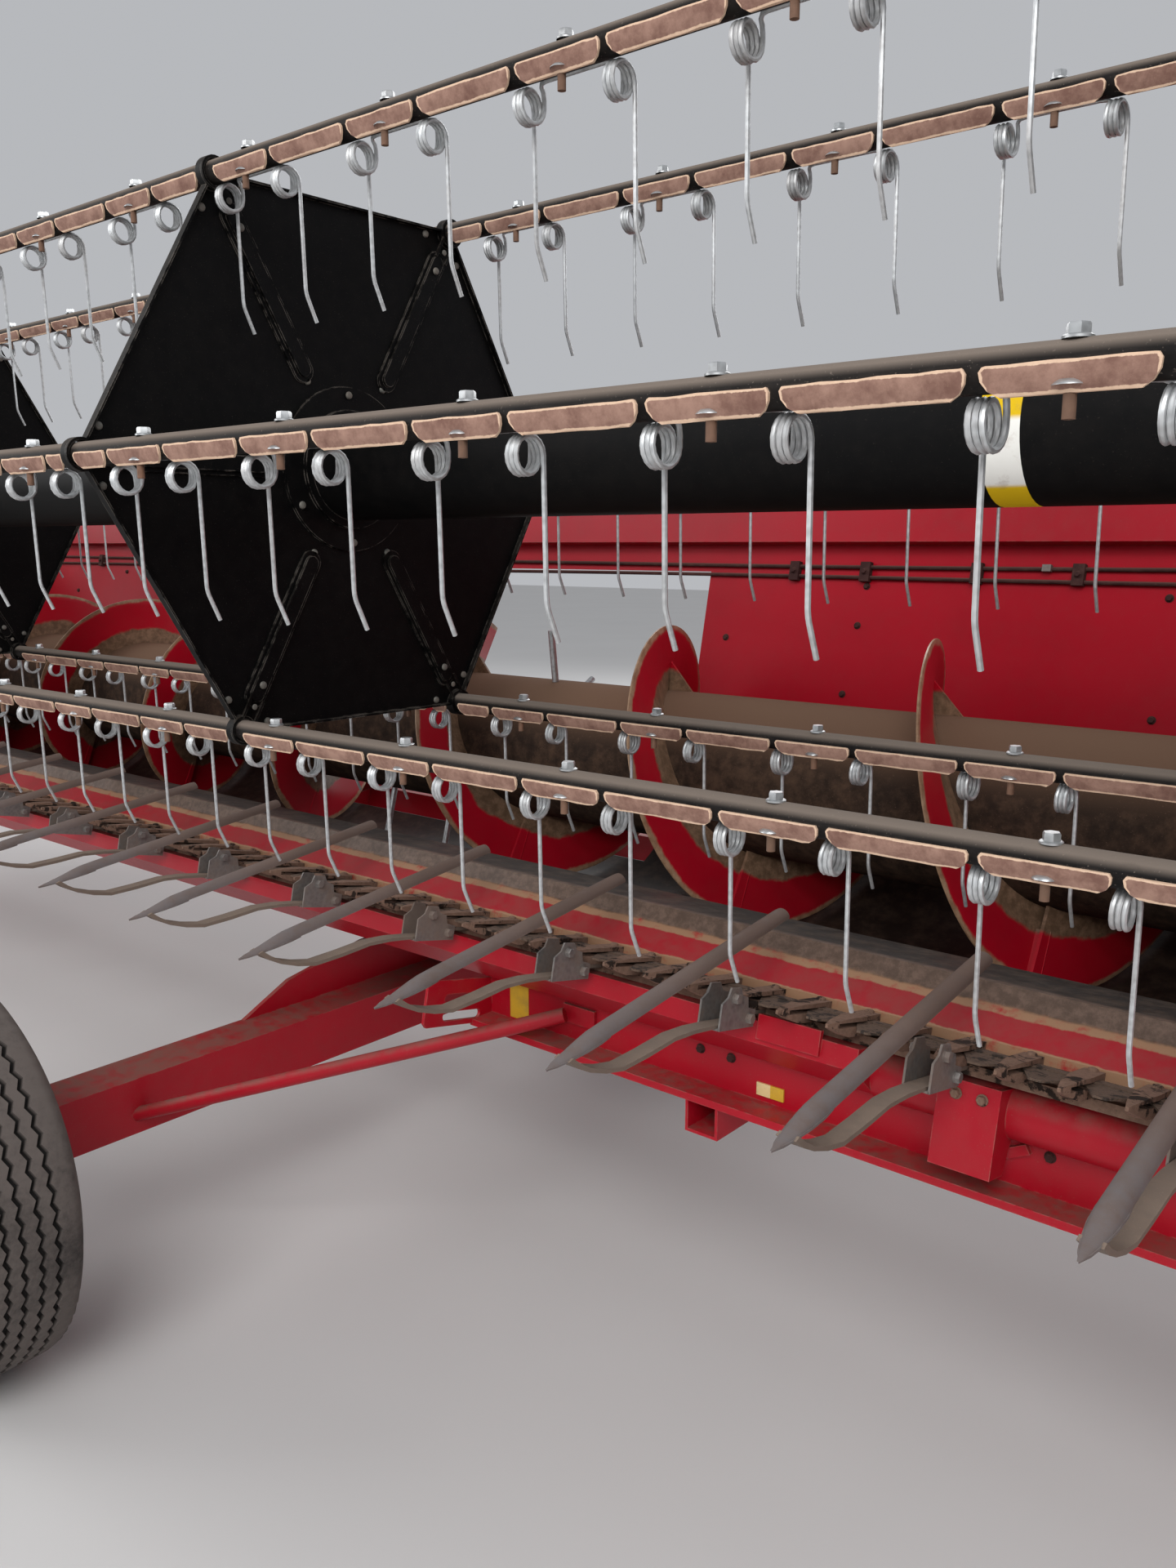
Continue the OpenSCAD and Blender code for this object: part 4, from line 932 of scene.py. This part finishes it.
def lifter():
    """One lifter: bar, strap, and the clamp's floor and two bolted cheeks."""
    s = Shape()
    turn = Matrix.Rotation(math.radians(BAR_ANGLE), 3, "X")
    s.stamp(gutter(), 0, -371, -53, turn)
    s.slab([(-12, y, z) for y, z in STRAP_LOW + STRAP_TOP], (24, 0, 0), 1)
    s.slab([(-17, -38, -34.2), (-17, 40, -34.2), (-17, 40, -31.2), (-17, -38, -31.2)], (34, 0, 0), 2)
    head = hex_bolt(13, 6, 8, 1.5, 2)
    for x, face, turn in ((-18.5, -18.5, LEFT), (15.5, 18.5, RIGHT)):
        s.slab([(x, y, z) for y, z in CHEEK], (3, 0, 0), 2)
        s.stamp(head, face, -8, 10, turn)
        s.stamp(head, face, 34, -21, turn)
    return s


lifters, one = Shape(), lifter()
for i in range(-LIFTER_RUNS, LIFTER_RUNS):
    lifters.stamp(one, LIFTER_X0 + i * LIFTER_PITCH)
piece("lifters", lifters, HEAD, ["lifter", "strap", "zinc_dusty"], "body", ["crop_lifters"])


# Pipes on the back sheet, thin and a little slack between their clips
PIPE_END, PIPE_Y, PIPE_R, PIPE_POINTS = 2685.0, 1063.7, 4.6, 90
CLIPS = (-2500, -2090, -1664, -1255, -700, 1072, 1255, 1516, 1730, 2180, 2560)


def pipe_run():
    s = Shape()

    def block(x, half, front, back, z, height, mat):
        y0, y1 = PIPE_Y - front, PIPE_Y + back
        corners = [(x - half, y0, z), (x + half, y0, z), (x + half, y1, z), (x - half, y1, z)]
        s.slab(corners, (0, 0, height), mat)

    for z, phase in ((790.0, 0.0), (816.0, 1.7)):
        pts = []
        for k in range(PIPE_POINTS + 1):
            x = -PIPE_END + 2 * PIPE_END * k / PIPE_POINTS
            pts.append((x, PIPE_Y + 0.8 * math.sin(x / 310 + phase), z + 2.2 * math.sin(x / 420 + phase)))
        s.sweep(pts, PIPE_R, 0, 10)
    for x in CLIPS:
        block(x, 12, 9.5, 5.5, 781, 44, 0)
        s.stamp(hex_bolt(10, 5, 7, 1.5, 0), x, PIPE_Y - 9.5, 803, FRONT)
    for x in (-1664, 1664):
        block(x, 9, 8.5, 4, 809, 14, 1)
    return s


piece("pipe_run", pipe_run(), HEAD, ["pipe", "zinc_dusty"], "body", ["pipes"])


# Bolts of the header: back sheet, bracket plate, guards and finger bar
SHEET_FACE, GUARD_X0, GUARD_PITCH, GUARD_RUNS = 1070, 25.7, 76.2, 35
SHEET_BOLTS = ((897, 639), (1248, 682), (1234, 524), (1258, 772), (1516, 772), (1906, 762), (1906, 524),
               (2260, 682), (2560, 762), (2560, 524))


def header_bolts():
    s = Shape()
    head = hex_bolt(11, 5, 8.5, 1.2, 0)
    for side in (-1, 1):
        for x, z in SHEET_BOLTS:
            s.stamp(head, side * x, SHEET_FACE, z, FRONT)
    for x, z in ((2010, -52), (2045, -52)):
        s.stamp(hex_bolt(11, 6, 8, 1.5, 1), x, 84, z, FRONT)
    dome = round_bolt(7.0, 4.5, 1)
    nut = hex_bolt(12, 6, 8, 1.2, 1)
    for i in range(-GUARD_RUNS, GUARD_RUNS):
        x = GUARD_X0 + i * GUARD_PITCH
        s.stamp(dome, x, 129, 12)
        s.stamp(nut, x + GUARD_PITCH / 2, 151, -13.5)
    return s


piece("header_bolts", header_bolts(), HEAD, ["pipe", "guard"], "body")


# Reflector and blank sticker on the rail's panel, with its bolts
RAIL_FACE, RAIL_BOLT_Z = -241.0, 582
RAIL_BOLTS = (1568, 1625, 2114, 2480, -1568, -2114, -2480)


def rail_trim():
    s = Shape()

    def plate(x0, x1, z0, z1, t, mat):
        front = RAIL_FACE - t
        corners = [(x0, front, z0), (x1, front, z0), (x1, RAIL_FACE, z0), (x0, RAIL_FACE, z0)]
        s.slab(corners, (0, 0, z1 - z0), mat)

    plate(1673, 1697, 538, 558, 3.0, 0)
    plate(1697, 1720, 538, 558, 3.0, 1)
    plate(1157, 1201, 531, 594, 0.6, 1)
    head = hex_bolt(11, 5, 8, 1.2, 2)
    for x in RAIL_BOLTS:
        s.stamp(head, x, RAIL_FACE, RAIL_BOLT_Z, FRONT)
    return s


piece("rail_trim", rail_trim(), LEVEL, ["white", "yellow", "pipe"], "body")


# Fasteners and small trim of the ends, the drive cover, the light board, the lamps and the jack
# The faces that they stand on, along X
ARM_FACE, SLIDE_FACE, WALL_FACE, COVER_FACE = 2818.0, 2825.0, 2750.0, 2862.3
BOARD_FACE, LAMP_FACE = 2900.0, 2930.0
PIVOT_Y, PIVOT_Z = 925, 1470
ARM_BOLTS = ((300, 1480), (450, 1480), (820, 1508), (820, 1452))
# Along the end walls' rear and upper edges, and by the dividers
WALL_BOLTS = [(1090, z) for z in range(60, 860, 130)] + [(y, 858) for y in (960, 840)]
WALL_BOLTS += [(60, -52), (190, -62), (320, -70), (60, 100), (170, 235)]
AUGER_Y, AUGER_Z = 751, 314
COVER_SCREWS = ((90, -60), (90, 110), (420, -35), (690, 5), (560, 395), (860, 395), (905, 120), (960, 500),
                (1105, 575), (1225, 575), (1225, 445), (1060, 345))
LAMPS, LAMP_HALF, LAMP_LOW, LAMP_HIGH, BEZEL, BOARD_BOLTS = (-620, 760), 60, 500, 580, 5, (325, 395)


def arm_trim():
    """Caps of the arms' pivot and the arms' bolts, clear of the slides' way."""
    s = Shape()
    cap = Shape().lathe([(40, 0), (40, 5), (36, 8), (20, 8), (18, 14), (0, 14)], 0, 28)
    head = hex_bolt(17, 9, 14, 2.5, 1)
    for way, turn in BOTH_WAYS:
        s.stamp(cap, way * ARM_FACE, PIVOT_Y, PIVOT_Z, turn)
        s.stamp(hex_bolt(24, 10, 1, 0.5, 1), way * (ARM_FACE + 13), PIVOT_Y, PIVOT_Z, turn)
        for y, z in ARM_BOLTS:
            s.stamp(head, way * ARM_FACE, y, z, turn)
    return s


piece("arm_trim", arm_trim(), LEVEL, ["red", "zinc_dusty"], "reel_arms")


def slide_trim():
    """Bolts of the slides that carry the reel."""
    s = Shape()
    head = hex_bolt(15, 8, 12, 2.5, 0)
    for way, turn in BOTH_WAYS:
        for y in (-100, 100):
            for z in (-38, 38):
                s.stamp(head, way * SLIDE_FACE, y, z, turn)
    return s


piece("slide_trim", slide_trim(), REEL, ["zinc_dusty"], "reel_slides")


def wall_trim():
    """Bolts along the end walls' edges, the auger's flange bearing and the drive cover's screws."""
    s = Shape()
    head = hex_bolt(13, 6.5, 10.5, 2, 0)
    for way, turn in BOTH_WAYS:
        for y, z in WALL_BOLTS:
            s.stamp(head, way * WALL_FACE, y, z, turn)
    flange = Shape().lathe([(46, 0), (92, 0), (92, 7), (66, 10), (60, 22), (46, 22)], 1, 36, closed=True)
    s.stamp(flange, WALL_FACE, AUGER_Y, AUGER_Z, RIGHT)
    for k in range(4):
        y, z = polar(79, 45 + 90 * k)
        s.stamp(head, WALL_FACE + 7, AUGER_Y + y, AUGER_Z + z, RIGHT)
    screw = hex_bolt(11, 5, 9, 1.5, 0)
    for y, z in COVER_SCREWS:
        s.stamp(screw, -COVER_FACE, y, z, LEFT)
    return s


piece("wall_trim", wall_trim(), HEAD, ["zinc_dusty", "black"], "body")


def board_trim():
    """Bezels, inner fields and screws of the tail lamps, and the light board's bolts."""
    s = Shape()
    inner, low, high = LAMP_HALF - BEZEL, LAMP_LOW + BEZEL, LAMP_HIGH - BEZEL

    def field(y0, y1, z0, z1, t, mat):
        x = LAMP_FACE
        s.slab([(x, y0, z0), (x, y1, z0), (x, y1, z1), (x, y0, z1)], (t, 0, 0), mat)

    for y in LAMPS:
        for y0, y1, z0, z1 in ((-LAMP_HALF, LAMP_HALF, LAMP_LOW, low),
                               (-LAMP_HALF, LAMP_HALF, high, LAMP_HIGH),
                               (-LAMP_HALF, -inner, low, high),
                               (inner, LAMP_HALF, low, high),
                               (14, 17, low, high)):
            field(y + y0, y + y1, z0, z1, 3.5, 0)
        field(y + 17, y + inner, low, high, 1.6, 1)
        for dy in (-48, 48):
            s.stamp(round_bolt(3.2, 1.8, 2), LAMP_FACE + 3.4, y + dy, 502.5, RIGHT)
    for y in BOARD_BOLTS:
        s.stamp(hex_bolt(17, 9, 14, 2.5, 2), BOARD_FACE, y, 492, RIGHT)
    return s


piece("board_trim", board_trim(), LEVEL, ["black", "amber", "zinc_dusty"], "body")


def jack_trim():
    """Head, crank and grip of the drawbar's jack."""
    s = Shape()
    s.lathe([(26, 0), (37, 0), (37, 12), (33, 17), (12, 19), (0, 19)], 0, 28)
    crank = [(0, -28, -34), (0, -62, -34), (0, -70, -40), (0, -70, -150), (0, -78, -158), (0, -112, -158)]
    s.sweep(crank, 6.5, 0, 12)
    grip = Shape().lathe([(0, 0), (12, 0), (14, 6), (11, 40), (14, 74), (12, 80), (0, 80)], 1, 20)
    return s.stamp(grip, 0, -110, -158, FRONT)


JACK = LEVEL @ Matrix.Translation((-3.5, 0.093, 0.720))
piece("jack_trim", jack_trim(), JACK, ["zinc", "black"], "body")


# Finishes of the nodes
LOOK = {
    "sheet": "back_sheets",
    "red": "back_frame end_walls floor_ribs front_beam dividers drive_cover reel_arms reel_slides main_beam "
           "axle_beam cradles drawbar auger_flights",
    "trough": "trough",
    "spider": "reel_spiders control_ring",
    "black": "pipes reel_drive lift_barrel_left lift_barrel_right",
    "tube": "reel_tube",
    "bat": "bat_1 bat_2 bat_3 bat_4 bat_5 bat_6",
    "brown": "auger_tube",
    "zinc_dusty": "crop_lifters",
    "zinc": "jack_tube jack_leg drive_shaft auger_fingers",
    "chrome": "lift_rod_left lift_rod_right",
    "guard": "cutterbar",
    "steel": "knife",
    "rubber": "tyre_front tyre_rear",
    "silver": "rim_front rim_rear",
    "board": "light_board",
    "lamp": "tail_lamps",
}
for look, names in LOOK.items():
    for n in names.split():
        NODES[n].data.materials.clear()
        NODES[n].data.materials.append(M[look])
        for p in NODES[n].data.polygons:
            p.material_index = 0
unnamed = set(NODES) - {n for names in LOOK.values() for n in names.split()}
assert not unnamed, unnamed


# The stage: the floor's half width, and each lamp's name, place, watts, size and aim
FLOOR_HALF = 30
STUDIO = (
    ("key", (5.5, -6.5, 6.0), 520, 5, (0.8, 0, 0.8)),
    ("fill", (-6.0, -5.0, 4.5), 300, 6, (0, 0, 0.8)),
    ("back", (-1.0, 7.0, 5.5), 320, 6, (0, 0, 1.0)),
)
SKY, SKY_STRENGTH = (0.86, 0.88, 0.92, 1), 0.55


def stage():
    me = bpy.data.meshes.new("floor")
    s = FLOOR_HALF
    me.from_pydata([(-s, -s, 0), (s, -s, 0), (s, s, 0), (-s, s, 0)], [], [(0, 1, 2, 3)])
    floor = add_to_scene("floor", me)
    t = Tree("floor")
    n = t.noise(0.8, 4)
    me.materials.append(t.done(t.mix(n, (0.60, 0.59, 0.58), (0.66, 0.65, 0.64)), 0.85))
    for name, place, watts, size, aim in STUDIO:
        light = bpy.data.lights.new(name, "AREA")
        light.energy, light.size = watts, size
        turn = (Vector(aim) - Vector(place)).to_track_quat("-Z", "Y").to_matrix().to_4x4()
        add_to_scene(name, light).matrix_world = Matrix.Translation(place) @ turn
    world = bpy.data.worlds.new("world")
    bpy.context.scene.world = world
    world.use_nodes = True
    sky = world.node_tree.nodes["Background"]
    sky.inputs["Color"].default_value = SKY
    sky.inputs["Strength"].default_value = SKY_STRENGTH


stage()
bpy.context.scene.view_settings.view_transform = "Standard"
